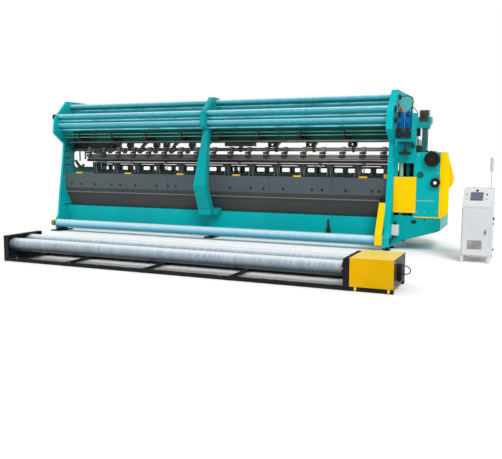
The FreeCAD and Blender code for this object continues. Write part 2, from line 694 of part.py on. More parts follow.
def runs_along(edge, axis, at=(), within=0.01):
    """True for a straight edge along an axis that passes through given coordinates."""
    if len(edge.Vertexes) != 2 or edge.Curve.TypeId != "Part::GeomLine":
        return False
    start, end = (vertex.Point for vertex in edge.Vertexes)
    other = [i for i in range(3) if i != "xyz".index(axis)]
    if any(abs(start[i] - end[i]) > within for i in other):
        return False
    if not at:
        return True
    return any(all(abs(start[i] - spot[k]) < within for k, i in enumerate(other)) for spot in at)


def prism(label, axis, start, length, points, holes=()):
    """A bar with one section along its whole length, and round holes through it."""
    body = body_of(label)
    sketch = sketch_at(body, axis, start)
    outline(sketch, points)
    for across, up, radius in holes:
        hole(sketch, across, up, radius)
    pad(body, sketch, axis, length)
    return body


def prism_row(label, axis, start, length, points, holes, span, count):
    """The same section repeated along its own axis as separate pieces."""
    body = body_of(label)
    sketch = sketch_at(body, axis, start)
    outline(sketch, points)
    for across, up, radius in holes:
        hole(sketch, across, up, radius)
    feature = pad(body, sketch, axis, length)
    repeat(body, feature, sketch, span, count, "N_Axis")
    return body


def turned(label, axis, x, y, z, steps, bore=None):
    """A turned piece: steps are pairs of length and radius, one after another along an axis."""
    body = body_of(label)
    sketch = sketch_at(body, "z", "0")
    inner = bore or "0"
    points = [("0", inner)]
    along = "0"
    for length, radius in steps:
        points.append((along, radius))
        along = f"{along} + {length}" if along != "0" else str(length)
        points.append((along, radius))
    points.append((along, inner))
    outline(sketch, points)
    feature = body.newObject("PartDesign::Revolution", body.Name + "_turn")
    feature.Profile = sketch
    feature.ReferenceAxis = (sketch, ["H_Axis"])
    feature.Angle = 360
    place(body, x, y, z, TURNS[axis])
    return body


# ---------------------------------------------------------------- end stands

STAND_OUTLINE = [
    ("toe_y + 20", "foot_height"),
    ("toe_y", "toe_top"),
    ("toe_y + 90", "toe_top + 130"),
    ("column_y - 90", "(toe_top + sill_z) / 2 + 60"),
    ("column_y", "sill_z"),
    ("neck_y", "neck_z"),
    ("nose_y", "nose_low"),
    ("nose_y + 40", "nose_top"),
    ("nose_y + 100", "nose_top + 60"),
    ("peak_y", "head_top"),
    ("head_back - 60", "head_top"),
    ("head_back", "head_top - 60"),
    ("head_back", "head_back_low"),
    ("column_back + 20", "neck_z + 130"),
    ("column_back", "neck_z"),
    ("column_back + 20", "toe_top + 150"),
    ("heel_back", "toe_top"),
    ("heel_back", "foot_height"),
    ("arch_back", "foot_height"),
    ("arch_back - 90", "arch_top"),
    ("arch_front + 90", "arch_top"),
    ("arch_front", "foot_height"),
]
# every journal that passes through a stand
STAND_BORES = [("feed_1_y", "feed_1_z"), ("feed_2_y", "feed_2_z"), ("feed_3_y", "feed_3_z"),
               ("bottom_y", "bottom_z"), ("take_down_y", "take_down_z"), ("main_shaft_y", "main_shaft_z"),
               ("swing_y", "swing_z")]


def make_stand(label, start, width):
    """A cast end stand with its bores and its window."""
    body = body_of(label)
    sketch = sketch_at(body, "x", start)
    outline(sketch, STAND_OUTLINE)
    for across, up in STAND_BORES:
        hole(sketch, across, up, "journal_radius + run_gap")
    pad(body, sketch, "x", width)
    window = sketch_at(body, "x", start)
    rounded(window, "window_front", "window_back", "window_low", "window_high", "corner_round")
    pocket(body, window, "x", width)
    return node(body, label)


def cast_pocket(body):
    """The pocket in the right stand's outer side."""
    recess = sketch_at(body, "x", "stand_out - recess_depth")
    rounded(recess, "take_down_y + 120", "column_back - 130", "arch_top + 150", "window_low - 120",
            "corner_round")
    pocket(body, recess, "x", "recess_depth")


make_stand("left_stand", "-left_out", "left_width")
cast_pocket(make_stand("right_stand", "half_span", "stand_width"))

# the left stand stands on two base plates, the right one on four levelling screws
feet = []
for end, y0, y1 in (("front", "toe_y - 20", "arch_front - 100"),
                    ("rear", "arch_back + 20", "heel_back + 30")):
    feet.append(fuse(f"left_{end}_foot", [
        box(f"left_{end}_plate", ("-left_out - left_plate_reach", "-half_span + left_plate_reach"),
            (y0, y1), ("0", "foot_plate")),
        box(f"left_{end}_block", ("-left_out", "-half_span"), (f"{y0} + 60", f"{y1} - 60"),
            ("foot_plate", "foot_height"))]))
screw_x = "(half_span + stand_out) / 2"
for i, y in enumerate(("toe_y + 90", "arch_front - 70", "arch_back + 80", "heel_back - 80")):
    feet.append(fuse(f"right_foot_{i}", [
        rod(f"right_pad_{i}", "z", screw_x, y, "0", "foot_pad", "foot_plate"),
        rod(f"right_screw_{i}", "z", screw_x, y, "foot_plate", "foot_screw", "foot_height - foot_plate")]))

# ---------------------------------------------------------------- beams and sump

feet.append(fuse("centre_foot", [
    box("centre_foot_pad", ("-90", "90"), ("-40", "base_front + base_depth"), ("0", "foot_plate")),
    box("centre_foot_block", ("-60", "60"), ("base_front", "base_front + base_depth - 30"),
        ("foot_plate", "base_low"))]))
node(compound("machine_feet", feet), "machine_feet")



def channel(label, front, depth, low, high):
    """A beam between the stands that is open at the back."""
    return prism(label, "x", "-half_span", "2 * half_span", [
        (front, low), (f"{front} + {depth}", low), (f"{front} + {depth}", f"{low} + beam_wall"),
        (f"{front} + beam_wall", f"{low} + beam_wall"), (f"{front} + beam_wall", f"{high} - beam_wall"),
        (f"{front} + {depth}", f"{high} - beam_wall"), (f"{front} + {depth}", high), (front, high)])


node(channel("base_beam", "base_front", "base_depth", "base_low", "base_high"), "base_beam")
node(compound("top_beam", [
    channel("knitting_beam", "top_front", "top_depth", "top_low", "top_high"),
    channel("rear_beam", "rear_beam_front", "rear_beam_depth", "rear_beam_low", "rear_beam_high")]), "top_beam")

sump = prism("sump_panel", "x", "-half_span", "2 * half_span", [
    ("shelf_depth", "sump_top"), ("0", "sump_top"), ("0", "sump_top - band_height"),
    ("bead_y", "bead_z"), ("bead_y - 14", "bead_z - 5"), ("bead_y - 14", "bead_z - 24"),
    ("bead_y + 10", "bead_z - 28"), ("sump_foot_y", "sump_foot_z"), ("shelf_depth", "sump_foot_z"),
    ("shelf_depth", "sump_foot_z + sump_wall"), ("sump_foot_y + sump_wall - 3", "sump_foot_z + sump_wall"),
    ("bead_y + sump_wall + 4", "bead_z"), ("sump_wall", "sump_top - band_height + 4"),
    ("sump_wall", "sump_top - sump_wall"), ("shelf_depth", "sump_top - sump_wall")])
node(sump, "sump_panel")


def make_caps():
    """Low domed covers along the front edge of the sump's shelf."""
    body = body_of("sump_caps")
    sketch = sketch_at(body, "z", "sump_top")
    rounded(sketch, "cap_first - cap_width / 2", "cap_first + cap_width / 2", "4", "4 + cap_depth", "14")
    feature = pad(body, sketch, "z", "cap_height")
    repeat(body, feature, sketch, "cap_pitch * (cap_count - 1)", "cap_count")
    single = sketch_at(body, "z", "sump_top")
    rounded(single, "end_cap_x - cap_depth / 2", "end_cap_x + cap_depth / 2", "4", "4 + cap_depth", "14")
    body.Tip = pad(body, single, "z", "cap_height * 2.6")
    return node(body, "sump_caps")


make_caps()

# ---------------------------------------------------------------- centre strut


def make_strut():
    """A bowed casting over the sump, from the base beam to the top beam."""
    body = body_of("centre_strut")
    sketch = sketch_at(body, "x", "-strut_width / 2")
    outline(sketch, [
        ("strut_foot_y", "base_high - 50"), ("strut_foot_y", "strut_foot_z"), ("elbow_y", "elbow_z"),
        ("waist_y", "waist_z"), ("throat_y", "throat_z"), ("feed_3_y - 130", "feed_3_z - 60"),
        ("nose_y + 20", "feed_3_z + 20"), ("nose_y + 50", "nose_top + 55"), ("feed_1_y - 150", "strut_tip_z"),
        ("feed_1_y + 80", "strut_tip_z"), ("top_front + top_depth", "feed_1_z - 70"),
        ("top_front + top_depth", "top_high"), ("top_front", "top_high"),
        ("throat_y + strut_depth + 60", "throat_z + 20"), ("throat_y + strut_depth - 24", "throat_z - 60"),
        ("waist_y + strut_depth", "waist_z"), ("elbow_y + strut_depth", "elbow_z"),
        ("strut_foot_y + strut_depth", "strut_foot_z + 60"), ("base_front", "strut_foot_z + 20"),
        ("base_front", "base_high - 50")])
    for row in (1, 2, 3):
        hole(sketch, f"feed_{row}_y", f"feed_{row}_z", "feed_radius + run_gap")
    pad(body, sketch, "x", "strut_width")
    for side in (-1, 1):
        taper = sketch_at(body, "y", "nose_y - 200")
        outline(taper, [
            (f"{side} * strut_width", "strut_tip_z + 100"),
            (f"{side} * strut_top_width / 2", "strut_tip_z + 100"),
            (f"{side} * strut_top_width / 2", "throat_z"), (f"{side} * strut_width / 2", "elbow_z"),
            (f"{side} * strut_width", "elbow_z")])
        pocket(body, taper, "y", "top_front + top_depth - nose_y + 400")
    flange = sketch_at(body, "x", "-foot_flange / 2")
    outline(flange, [("base_front - 150", "base_high - 50"), ("base_front - 150", "base_high + 30"),
                     ("base_front - 30", "strut_foot_z + 30"), ("base_front", "strut_foot_z + 30"),
                     ("base_front", "base_high - 50")])
    pad(body, flange, "x", "foot_flange")
    return node(body, "centre_strut")


make_strut()

# ---------------------------------------------------------------- feed rollers, guide rods and bearings


def make_roller(label, y, z, radius, start="0"):
    """A long roller or shaft with a journal through each stand, the left one longer where start is given."""
    return turned(label, "x", "-left_out - left_bearing / 2", y, z, [
        (f"roller_end_gap + left_width + left_bearing / 2 + {start}", "journal_radius"),
        (f"(half_span - roller_end_gap) * 2 - {start}", radius),
        ("roller_end_gap + stand_width + bearing_width / 2", "journal_radius")])


for row in (1, 2, 3):
    label = f"feed_roller_{row}"
    node(make_roller(label, f"feed_{row}_y", f"feed_{row}_z", "feed_radius"), label)
node(make_roller("fabric_roller", "bottom_y", "bottom_z", "bottom_radius"), "fabric_roller")
node(make_roller("take_down_roller", "take_down_y", "take_down_z", "take_down_radius"), "take_down_roller")

rods = [rod(f"guide_rod_{row}", "x", "-half_span", f"feed_{row}_y", f"feed_{row}_z - guide_rod_drop",
            "guide_rod_radius", "half_span * 2") for row in (1, 2, 3)]
rods_cut = cut("yarn_guide_rods", compound("guide_rod_set", rods),
               box("strut_slot", ("-strut_top_width / 2", "strut_top_width / 2"), ("nose_y - 50", "top_front"),
                   ("feed_3_z - 200", "feed_1_z")))


def make_bearings():
    """Closed flange bearings on the outer side of both stands."""
    members = []
    for side, start, seat, width in (("left", "-left_out - left_bearing", "-left_out - left_bearing + 6",
                                      "left_bearing"),
                                     ("right", "stand_out", "stand_out", "bearing_width")):
        for i, (y, z) in enumerate(STAND_BORES):
            flange = rod(f"{side}_flange_{i}", "x", start, y, z, "bearing_radius", width)
            bore = rod(f"{side}_bore_{i}", "x", seat, y, z, "journal_radius + run_gap", f"{width} - 6")
            members.append(cut(f"{side}_bearing_{i}", flange, bore))
    return node(compound("flange_bearings", members), "flange_bearings")


make_bearings()

# ---------------------------------------------------------------- knitting zone


def make_trick_plate():
    """The casting that carries the needles' trick plate, on a row of arches."""
    body = body_of("trick_plate")
    sketch = sketch_at(body, "y", "plate_front")
    outline(sketch, [("plate_left", "sump_top"), ("half_span", "sump_top"), ("half_span", "plate_top"),
                     ("plate_left", "plate_top")])
    pad(body, sketch, "y", "plate_depth")
    opening = sketch_at(body, "y", "plate_front")
    rounded(opening, "opening_first - opening_width / 2", "opening_first + opening_width / 2", "opening_low",
            "opening_high", "opening_round")
    feature = pocket(body, opening, "y", "plate_depth")
    repeat(body, feature, opening, "opening_pitch * (opening_count - 1)", "opening_count")
    return node(body, "trick_plate")


make_trick_plate()

# the hangers drop from the top beam and carry the swing shaft; one of them also holds a block
hangers = prism_row("hanger_row", "x", "arm_first + 1.5 * arm_pitch - hanger_thick / 2", "hanger_thick", [
    ("swing_y - hanger_ring * 0.5", "swing_z - hanger_ring * 0.87"),
    ("swing_y + hanger_ring * 0.5", "swing_z - hanger_ring * 0.87"), ("swing_y + hanger_ring", "swing_z"),
    ("swing_y + hanger_ring + 14", "top_low - 60"), ("top_front + top_depth - 30", "top_low"),
    ("top_front", "top_low"), ("swing_y - hanger_ring", "swing_z + 40"), ("swing_y - hanger_ring", "swing_z")],
    [("swing_y", "swing_z", "swing_radius + run_gap")], "2 * arm_pitch * (hanger_count - 1)",
    "hanger_count")
node(fuse("shaft_hangers", [hangers, box("tackle_block", ("tackle_left", "tackle_right"),
                                         ("tackle_front", "top_front"),
                                         ("top_low - tackle_height", "top_low"))]), "shaft_hangers")


def make_swing_shaft():
    """The rocking shaft with the clamps and arms that hold the two guide bars."""
    body = make_roller("swing_shaft_bar", "swing_y", "swing_z", "swing_radius", "zone_gap")
    arms = prism_row("guide_arms", "x", "arm_first - arm_thick / 2", "arm_thick", [
        ("swing_y - clamp_size / 2", "swing_z"), ("swing_y + 24", "swing_z"),
        ("swing_y + 10", "rear_bar_low - 8"), ("front_bar_y + bar_depth + 34", "rear_bar_low - 22"),
        ("front_bar_y + bar_depth + 22", "front_bar_low"),
        ("front_bar_y + bar_depth + slide_gap", "front_bar_low"),
        ("front_bar_y + bar_depth + slide_gap", "rear_bar_low - slide_gap"),
        ("rear_bar_y + bar_depth + slide_gap", "rear_bar_low - slide_gap"),
        ("rear_bar_y + bar_depth + slide_gap", "rear_bar_high + 8")], [],
        "arm_pitch * (arm_count - 1)", "arm_count")
    clamps = prism_row("shaft_clamps", "x", "arm_first - clamp_width / 2", "clamp_width", [
        ("swing_y - clamp_size / 2", "swing_z - clamp_size / 2"),
        ("swing_y + clamp_size / 2", "swing_z - clamp_size / 2"),
        ("swing_y + clamp_size / 2", "swing_z + clamp_size / 2"),
        ("swing_y - clamp_size / 2", "swing_z + clamp_size / 2")], [],
        "arm_pitch * (arm_count - 1)", "arm_count")
    return node(fuse("swing_shaft", [body, arms, clamps]), "swing_shaft")


make_swing_shaft()


def guide_bar(label, y, low, high):
    """A guide bar: an I-section that slides lengthwise on the arms."""
    web = "bar_depth / 3"
    body = prism(label, "x", "bar_left", "bar_right - bar_left", [
        (y, low), (f"{y} + bar_depth", low), (f"{y} + bar_depth", high), (y, high), (y, f"{high} - 14"),
        (f"{y} + {web}", f"{high} - 18"), (f"{y} + {web}", f"{low} + 18"), (y, f"{low} + 14")])
    return node(body, label)


guide_bar("guide_bar_front", "front_bar_y", "front_bar_low", "front_bar_high")
guide_bar("guide_bar_rear", "rear_bar_y", "rear_bar_low", "rear_bar_high")

# Brackets on the top beam, each with two arms and a front post; two rods lie in the post, the reed hangs below
node(cut("tension_brackets", prism_row("bracket_row", "x", "hook_first - hook_thick / 2", "hook_thick", [
    ("top_front", "tension_high + 14"), ("-hook_reach", "tension_high + 14"),
    ("-hook_reach", "tension_low - 14"), ("reed_y", "reed_z + reed_height + 22"),
    ("reed_y", "reed_z + reed_height"), ("top_front", "reed_z + reed_height"),
    ("top_front", "tension_low + 14"), ("hook_post", "tension_low + 14"),
    ("hook_post", "tension_high - 14"), ("top_front", "tension_high - 14")], [],
    "hook_pitch * (hook_count - 1)", "hook_count"),
    compound("tension_seats", [
        rod(f"tension_seat_{name}", "x", "-half_span", "0", z, "tension_radius", "half_span * 2")
        for name, z in (("high", "tension_high"), ("low", "tension_low"))])), "tension_brackets")
tension_rods = [rod(f"tension_rod_{name}", "x", "-half_span", "0", z, "tension_radius", "half_span * 2")
                for name, z in (("high", "tension_high"), ("low", "tension_low"))]
node(compound("yarn_rods", [rods_cut] + tension_rods), "yarn_rods")
node(box("yarn_reed", ("-half_span", "half_span"), ("reed_y", "reed_y + reed_depth"),
         ("reed_z", "reed_z + reed_height")), "yarn_reed")


def make_needle_bar():
    """The needle bar with the lifter rods that carry it."""
    members = [box("needle_rail", ("bar_left", "bar_right"),
                   ("needle_bar_y", "needle_bar_y + needle_bar_depth"),
                   ("needle_bar_low", "needle_bar_low + needle_bar_height"))]
    for i in range(int(value("cam_count"))):
        x = f"cam_first + {i} * cam_pitch + cam_offset"
        members.append(box(f"lifter_head_{i}", (f"{x} - 24", f"{x} + 24"),
                           ("needle_bar_y", "main_shaft_y + lifter_radius + 8"),
                           ("needle_bar_low - 30", "needle_bar_low")))
        members.append(rod(f"lifter_{i}", "z", x, "main_shaft_y", "lifter_low", "lifter_radius",
                           "needle_bar_low - lifter_low"))
    return node(fuse("needle_bar", members), "needle_bar")


make_needle_bar()


def make_cam_boxes():
    """Webs behind the trick plate that carry the main shaft and guide the lifter rods."""
    webs = prism_row("cam_webs", "x", "cam_first - cam_thick / 2", "cam_thick", [
        ("plate_front + plate_depth", "plate_top - 40"), ("plate_front + plate_depth", "sump_top"),
        ("shelf_depth", "sump_top"), ("shelf_depth", "sump_top - sump_wall - 60"),
        ("main_shaft_y - main_shaft_radius - 22", "main_shaft_z"),
        ("main_shaft_y - 30", "main_shaft_z - main_shaft_radius - 20"),
        ("main_shaft_y + 30", "main_shaft_z - main_shaft_radius - 20"),
        ("main_shaft_y + main_shaft_radius + 22", "main_shaft_z"),
        ("main_shaft_y + 44", "sump_top"), ("main_shaft_y + 44", "plate_top - 150"),
        ("plate_front + plate_depth + 30", "plate_top - 40")],
        [("main_shaft_y", "main_shaft_z", "main_shaft_radius + run_gap")],
        "cam_pitch * (cam_count - 1)", "cam_count")
    guides = []
    bores = []
    for i in range(int(value("cam_count"))):
        x = f"cam_first + {i} * cam_pitch"
        guides.append(box(f"lifter_guide_{i}", (f"{x} + cam_thick / 2 - 2", f"{x} + cam_offset + 24"),
                          ("main_shaft_y - 26", "main_shaft_y + 26"), ("sump_top + 20", "sump_top + 80")))
        bores.append(rod(f"lifter_bore_{i}", "z", f"{x} + cam_offset", "main_shaft_y", "sump_top",
                         "lifter_radius + run_gap", "100"))
    webs = cut("cam_castings", fuse("cam_blanks", [webs] + guides), compound("lifter_bores", bores))
    return node(compound("cam_boxes", [webs, make_rail()]), "cam_boxes")


def make_rail():
    """The rail on the webs' rear edges, with a row of windows."""
    body = body_of("cam_rail")
    sketch = sketch_at(body, "y", "main_shaft_y + 44")
    outline(sketch, [("plate_left", "rail_low"), ("bar_right", "rail_low"),
                     ("bar_right", "rail_low + guide_rail_height"),
                     ("plate_left", "rail_low + guide_rail_height")])
    pad(body, sketch, "y", "guide_rail_thick")
    window = sketch_at(body, "y", "main_shaft_y + 44")
    rounded(window, "rail_window_x - rail_window_width / 2", "rail_window_x + rail_window_width / 2",
            "rail_window_low", "rail_window_low + rail_window_height", "18")
    feature = pocket(body, window, "y", "guide_rail_thick")
    repeat(body, feature, window, "rail_window_pitch * (rail_window_count - 1)", "rail_window_count")
    return body


make_cam_boxes()


def make_main_shaft():
    """The main shaft, with an eccentric under every lifter rod."""
    members = [make_roller("main_shaft_bar", "main_shaft_y", "main_shaft_z", "main_shaft_radius")]
    for i in range(int(value("cam_count"))):
        members.append(rod(f"eccentric_{i}", "x", f"cam_first + {i} * cam_pitch + cam_offset - 18",
                           "main_shaft_y", "main_shaft_z - eccentric_throw", "eccentric_radius", "36"))
    return node(fuse("main_shaft", members), "main_shaft")


make_main_shaft()

# ---------------------------------------------------------------- head stock


def make_stock():
    """The box beside the right stand, with its spindles, a post above and the adjusting wheel's bar."""
    body = body_of("stock_case")
    sketch = sketch_at(body, "z", "stock_low")
    outline(sketch, [("stand_out", "stock_front"), ("stock_right", "stock_front"),
                     ("stock_right", "stock_back"), ("stand_out", "stock_back")])
    pad(body, sketch, "z", "stock_high - stock_low")
    inside = sketch_at(body, "x", "stand_out")
    outline(inside, [("stock_front + stock_wall", "stock_low + stock_wall"),
                     ("stock_back - stock_wall", "stock_low + stock_wall"),
                     ("stock_back - stock_wall", "stock_high - stock_wall"),
                     ("stock_front + stock_wall", "stock_high - stock_wall")])
    pocket(body, inside, "x", "stock_right - stand_out - stock_wall")
    front = sketch_at(body, "y", "stock_front")
    rounded(front, "sight_left", "sight_right", "sight_low", "sight_high", "12")
    rounded(front, "panel_left + 50", "panel_right - 66", "panel_low + 40", "panel_high - 40", "20")
    rounded(front, "stand_out + stock_wall", "sight_right", "slot_high - slot_height", "slot_high", "8")
    pocket(body, front, "y", "stock_wall")
    post = sketch_at(body, "z", "stock_high")
    outline(post, [("stock_right - post_width", "stock_front"), ("stock_right", "stock_front"),
                   ("stock_right", "stock_front + 120"), ("stock_right - post_width", "stock_front + 120")])
    pad(body, post, "z", "post_top - stock_high")
    members = [body, box("adjusting_bar", ("adjust_x - 112", "adjust_x + 112"),
                         ("adjust_y - 28", "stock_front"),
                         ("adjust_bar_z", "adjust_bar_z + adjust_bar_height"))]
    for i in range(2):
        x = f"stand_out + spindle_in + {i} * spindle_pitch"
        members.append(rod(f"gear_spindle_{i}", "z", x, "spindle_y", "stock_low + stock_wall",
                           "spindle_radius", "spindle_height"))
    bore = rod("adjusting_bore", "z", "adjust_x", "adjust_y", "adjust_bar_z - 1", "14 + run_gap",
               "adjust_bar_height + 2")
    return node(cut("head_stock", fuse("stock_casting", members), bore), "head_stock")


make_stock()


def make_bracket():
    """The tapering bracket under head stock and gearbox: a box that is open at the back."""
    body = body_of("stock_bracket")
    sketch = sketch_at(body, "y", "stock_front")
    outline(sketch, [
        ("stand_out", "stock_low"), ("gear_right + cover_thick", "stock_low"),
        ("gear_right + cover_thick", "bracket_tip_z + 10"), ("gear_right - 34", "bracket_tip_z - 17"),
        ("bracket_knee_x", "bracket_knee_z"), ("stand_out", "foot_height")])
    pad(body, sketch, "y", "stock_back - stock_front")
    inside = sketch_at(body, "y", "stock_front + stock_wall")
    outline(inside, [
        ("stand_out + stock_wall", "stock_low - stock_wall"),
        ("gear_right + cover_thick - stock_wall", "stock_low - stock_wall"),
        ("gear_right + cover_thick - stock_wall", "bracket_tip_z + 18"),
        ("gear_right - 38", "bracket_tip_z - 3"), ("bracket_knee_x - 3", "bracket_knee_z + stock_wall"),
        ("stand_out + stock_wall", "foot_height + 28")])
    pocket(body, inside, "y", "stock_back - stock_front - stock_wall")
    return node(body, "stock_bracket")


make_bracket()


def make_panel():
    """The yellow front panel with round corners."""
    body = body_of("front_panel")
    sketch = sketch_at(body, "y", "stock_front - panel_thick")
    rounded(sketch, "panel_left", "panel_right", "panel_low", "panel_high", "14")
    pad(body, sketch, "y", "panel_thick")
    return node(body, "front_panel")


make_panel()


def make_gearbox():
    """The closed gear housing, round along its upper front edge, with its oil glass."""
    body = body_of("gearbox_case")
    sketch = sketch_at(body, "x", "stock_right")
    outline(sketch, [("stock_front", "gear_low"), ("stock_back", "gear_low"),
                     ("stock_back", "gear_high"), ("stock_front", "gear_high")])
    feature = pad(body, sketch, "x", "gear_right - stock_right")
    edge = (value("stock_front"), value("gear_high"))
    round_edges(body, feature, "gear_round", lambda item: runs_along(item, "x", [edge]))
    glass = turned("oil_glass", "-y", "glass_x", "stock_front + 5", "glass_z", [
        ("15", "glass_radius"), ("8", "glass_radius - 10")])
    bores = compound("gearbox_bores", [
        rod(name, "y", x, "stock_front - 1", z, f"{radius} + run_gap", "stub_length + 2")
        for name, x, z, radius in (("wheel_bore", "wheel_x", "wheel_z", "wheel_stub"),
                                   ("pulley_bore", "pulley_x", "pulley_z", "pulley_stub"))])
    return node(cut("gearbox", fuse("gearbox_housing", [body, glass]), bores), "gearbox")


make_gearbox()


def make_side_cover():
    """The cover on the gearbox's outer side, round at the rear, with a tray under the housing."""
    body = body_of("side_cover_plate")
    sketch = sketch_at(body, "x", "gear_right")
    outline(sketch, [("stock_front - 8", "gear_low"), ("stock_back", "gear_low"),
                     ("stock_back", "gear_high - 8"), ("stock_front - 8", "gear_high - 8")])
    feature = pad(body, sketch, "x", "cover_thick")
    edge = (value("stock_back"), value("gear_high - 8"))
    round_edges(body, feature, "cover_round", lambda item: runs_along(item, "x", [edge]))
    tray = box("gearbox_tray", ("stock_right", "gear_right + cover_thick + 6"),
               ("stock_front - 14", "stock_back"), ("stock_low", "gear_low"))
    return node(fuse("gearbox_side_cover", [body, tray]), "gearbox_side_cover")


make_side_cover()


def make_belt_guard():
    """The closed guard behind the gearbox, over the belts from the main motor to two pulleys."""
    body = body_of("belt_guard")
    # where the slanting sides touch the two upper rounds, as shares of their radii
    across, up = 0.96, 0.28
    rounds = [("guard_z", "guard_radius"), ("guard_top_z", "guard_top_radius")]
    sides = [[(f"guard_pulley_x + {side} * {across} * {radius}", f"{z} + {up} * {radius}")
              for z, radius in rounds] for side in (-1, 1)]
    strip = [("guard_x - guard_foot_radius", "guard_foot_z"), ("guard_x + guard_foot_radius", "guard_foot_z"),
             ("guard_x + guard_foot_radius", "guard_z"), ("guard_x - guard_foot_radius", "guard_z")]
    for corners in (strip, sides[0] + sides[1][::-1]):
        sketch = sketch_at(body, "y", "stock_back")
        outline(sketch, corners)
        pad(body, sketch, "y", "guard_depth")
    for x, (z, radius) in (("guard_pulley_x", rounds[0]), ("guard_pulley_x", rounds[1]),
                           ("guard_x", ("guard_foot_z", "guard_foot_radius"))):
        sketch = sketch_at(body, "y", "stock_back")
        hole(sketch, x, z, radius)
        pad(body, sketch, "y", "guard_depth")
    return node(body, "belt_guard")


make_belt_guard()

# the main motor hangs inside the bracket and drives the pulley under the belt guard
node(fuse("main_motor", [
    rod("main_motor_body", "y", "guard_x", "stock_back - motor_length", "guard_foot_z", "motor_radius",
        "motor_length - 40"),
    rod("main_motor_shaft", "y", "guard_x", "stock_back - 40", "guard_foot_z", "19", "40"),
    box("main_motor_foot", ("guard_x - 80", "guard_x + 80"),
        ("stock_back - motor_length + 60", "stock_back - 90"),
        ("guard_foot_z + 40", "stock_low - stock_wall"))]), "main_motor")

# the two feed motors stand on the head stock's shelf, each on its gear unit
motors = []
for i in range(2):
    x = f"feed_motor_x + {i} * feed_motor_pitch"
    motors.append(box(f"gear_unit_{i}", (f"{x} - gear_unit_width / 2", f"{x} + gear_unit_width / 2"),
                      ("feed_motor_y - 72", "feed_motor_y + 72"),
                      ("stock_high", "stock_high + gear_unit_height")))
    motors.append(rod(f"feed_motor_{i}", "z", x, "feed_motor_y", "stock_high + gear_unit_height",
                      "feed_motor_radius", "feed_motor_length"))
    motors.append(box(f"terminal_box_{i}", (f"{x} - 34", f"{x} + 34"),
                      ("feed_motor_y - feed_motor_radius - 30", "feed_motor_y - feed_motor_radius + 18"),
                      ("stock_high + gear_unit_height + 90", "stock_high + gear_unit_height + 190")))
node(compound("feed_motors", [fuse(f"feed_motor_set_{i}", motors[3 * i:3 * i + 3]) for i in range(2)]),
     "feed_motors")

# the horizontal adjusting wheel on its spindle, under a bar on the head stock's front
node(turned("adjusting_wheel", "z", "adjust_x", "adjust_y", "adjust_z", [
    ("adjust_height / 4", "adjust_radius - 22"), ("adjust_height / 2", "adjust_radius"),
    ("adjust_height / 4", "adjust_radius - 22"), ("26", "34"),
    ("adjust_bar_z + adjust_bar_height - adjust_z - adjust_height - 26", "14")]), "adjusting_wheel")

node(turned("hand_wheel", "-y", "wheel_x", "stock_front + stub_length", "wheel_z", [
    ("stub_length + slide_gap", "wheel_stub"), ("22", "44"), ("34", "wheel_radius"), ("22", "40")]),
    "hand_wheel")
node(turned("feed_pulley", "-y", "pulley_x", "stock_front + stub_length", "pulley_z", [
    ("stub_length + slide_gap", "pulley_stub"), ("14", "34"), ("8", "pulley_radius"),
    ("22", "pulley_radius - 12"), ("8", "pulley_radius"), ("10", "26")]), "feed_pulley")

# a column on the gearbox carries a cradle, bolted to the post, with the encoder's case in it
node(compound("pattern_drive", [
    box("pattern_column", ("drum_left", "drum_right"),
        ("stock_front + 30", "stock_front + 30 + drum_depth"), ("gear_high", "drum_top")),
    prism("pattern_cradle", "y", "stock_front", "drum_depth + 40", [
        ("stock_right", "drum_top"), ("drum_right + 10", "drum_top"), ("cradle_right", "drum_top + 76"),
        ("cradle_right", "cradle_top"), ("cradle_right - 44", "cradle_top"),
        ("cradle_right - 44", "drum_top + 92"), ("stock_right + 36", "drum_top + 92"),
        ("stock_right + 36", "cradle_top"), ("stock_right", "cradle_top")]),
    box("encoder_box", ("stock_right + 36", "cradle_right - 44"),
        ("stock_front + 20", "stock_front + 170"), ("drum_top + 92", "encoder_top"))]), "pattern_drive")

node(fuse("chain_guard", [
    prism("chain_cover", "x", "half_span - chain_width", "chain_width", [
        ("bottom_y - 152", "chain_low"), ("bottom_y - 98", "chain_low"), ("bottom_y - 98", "bottom_z + 84"),
        ("-64", "chain_top"), ("-124", "chain_top"), ("bottom_y - 152", "bottom_z + 108")]),
    box("chain_case", ("half_span - chain_width + 12", "half_span"), ("-130", "-58"),
        ("chain_top", "chain_top + chain_box"))]), "chain_guard")

node(fuse("junction_box", [
    box("junction_case", ("junction_left", "junction_right"), ("stock_front - junction_depth", "stock_front"),
        ("junction_low", "junction_high")),
    rod("junction_gland", "z", "(junction_left + junction_right) / 2 - 6", "stock_front - junction_depth / 2",
        "junction_high", "20", "48")]), "junction_box")

# ---------------------------------------------------------------- winder


def winder_plate(label, side):
    """An end plate of the winder, with its edges folded towards the outside or inside."""
    web, flange = ("winder_left", "winder_left + winder_wall") if side < 0 else (
        "winder_right", "winder_right")
    body = body_of(label)
    sketch = sketch_at(body, "x", web)
    outline(sketch, [("winder_front", "rail_pad"), ("winder_back", "rail_pad"),
                     ("winder_back", "winder_plate_top"), ("winder_front", "winder_plate_top")])
    for row in (1, 2):
        hole(sketch, f"winder_{row}_y", f"winder_{row}_z", "winder_journal + run_gap")
    pad(body, sketch, "x", "winder_plate_width")
    hollow = sketch_at(body, "x", f"{web} + winder_wall" if side < 0 else web)
    outline(hollow, [("winder_front + winder_wall", "rail_pad + rail_height + winder_wall"),
                     ("winder_back - winder_wall", "rail_pad + rail_height + winder_wall"),
                     ("winder_back - winder_wall", "winder_plate_top - winder_wall"),
                     ("winder_front + winder_wall", "winder_plate_top - winder_wall")])
    pocket(body, hollow, "x", "winder_plate_width - winder_wall")
    return node(body, label)


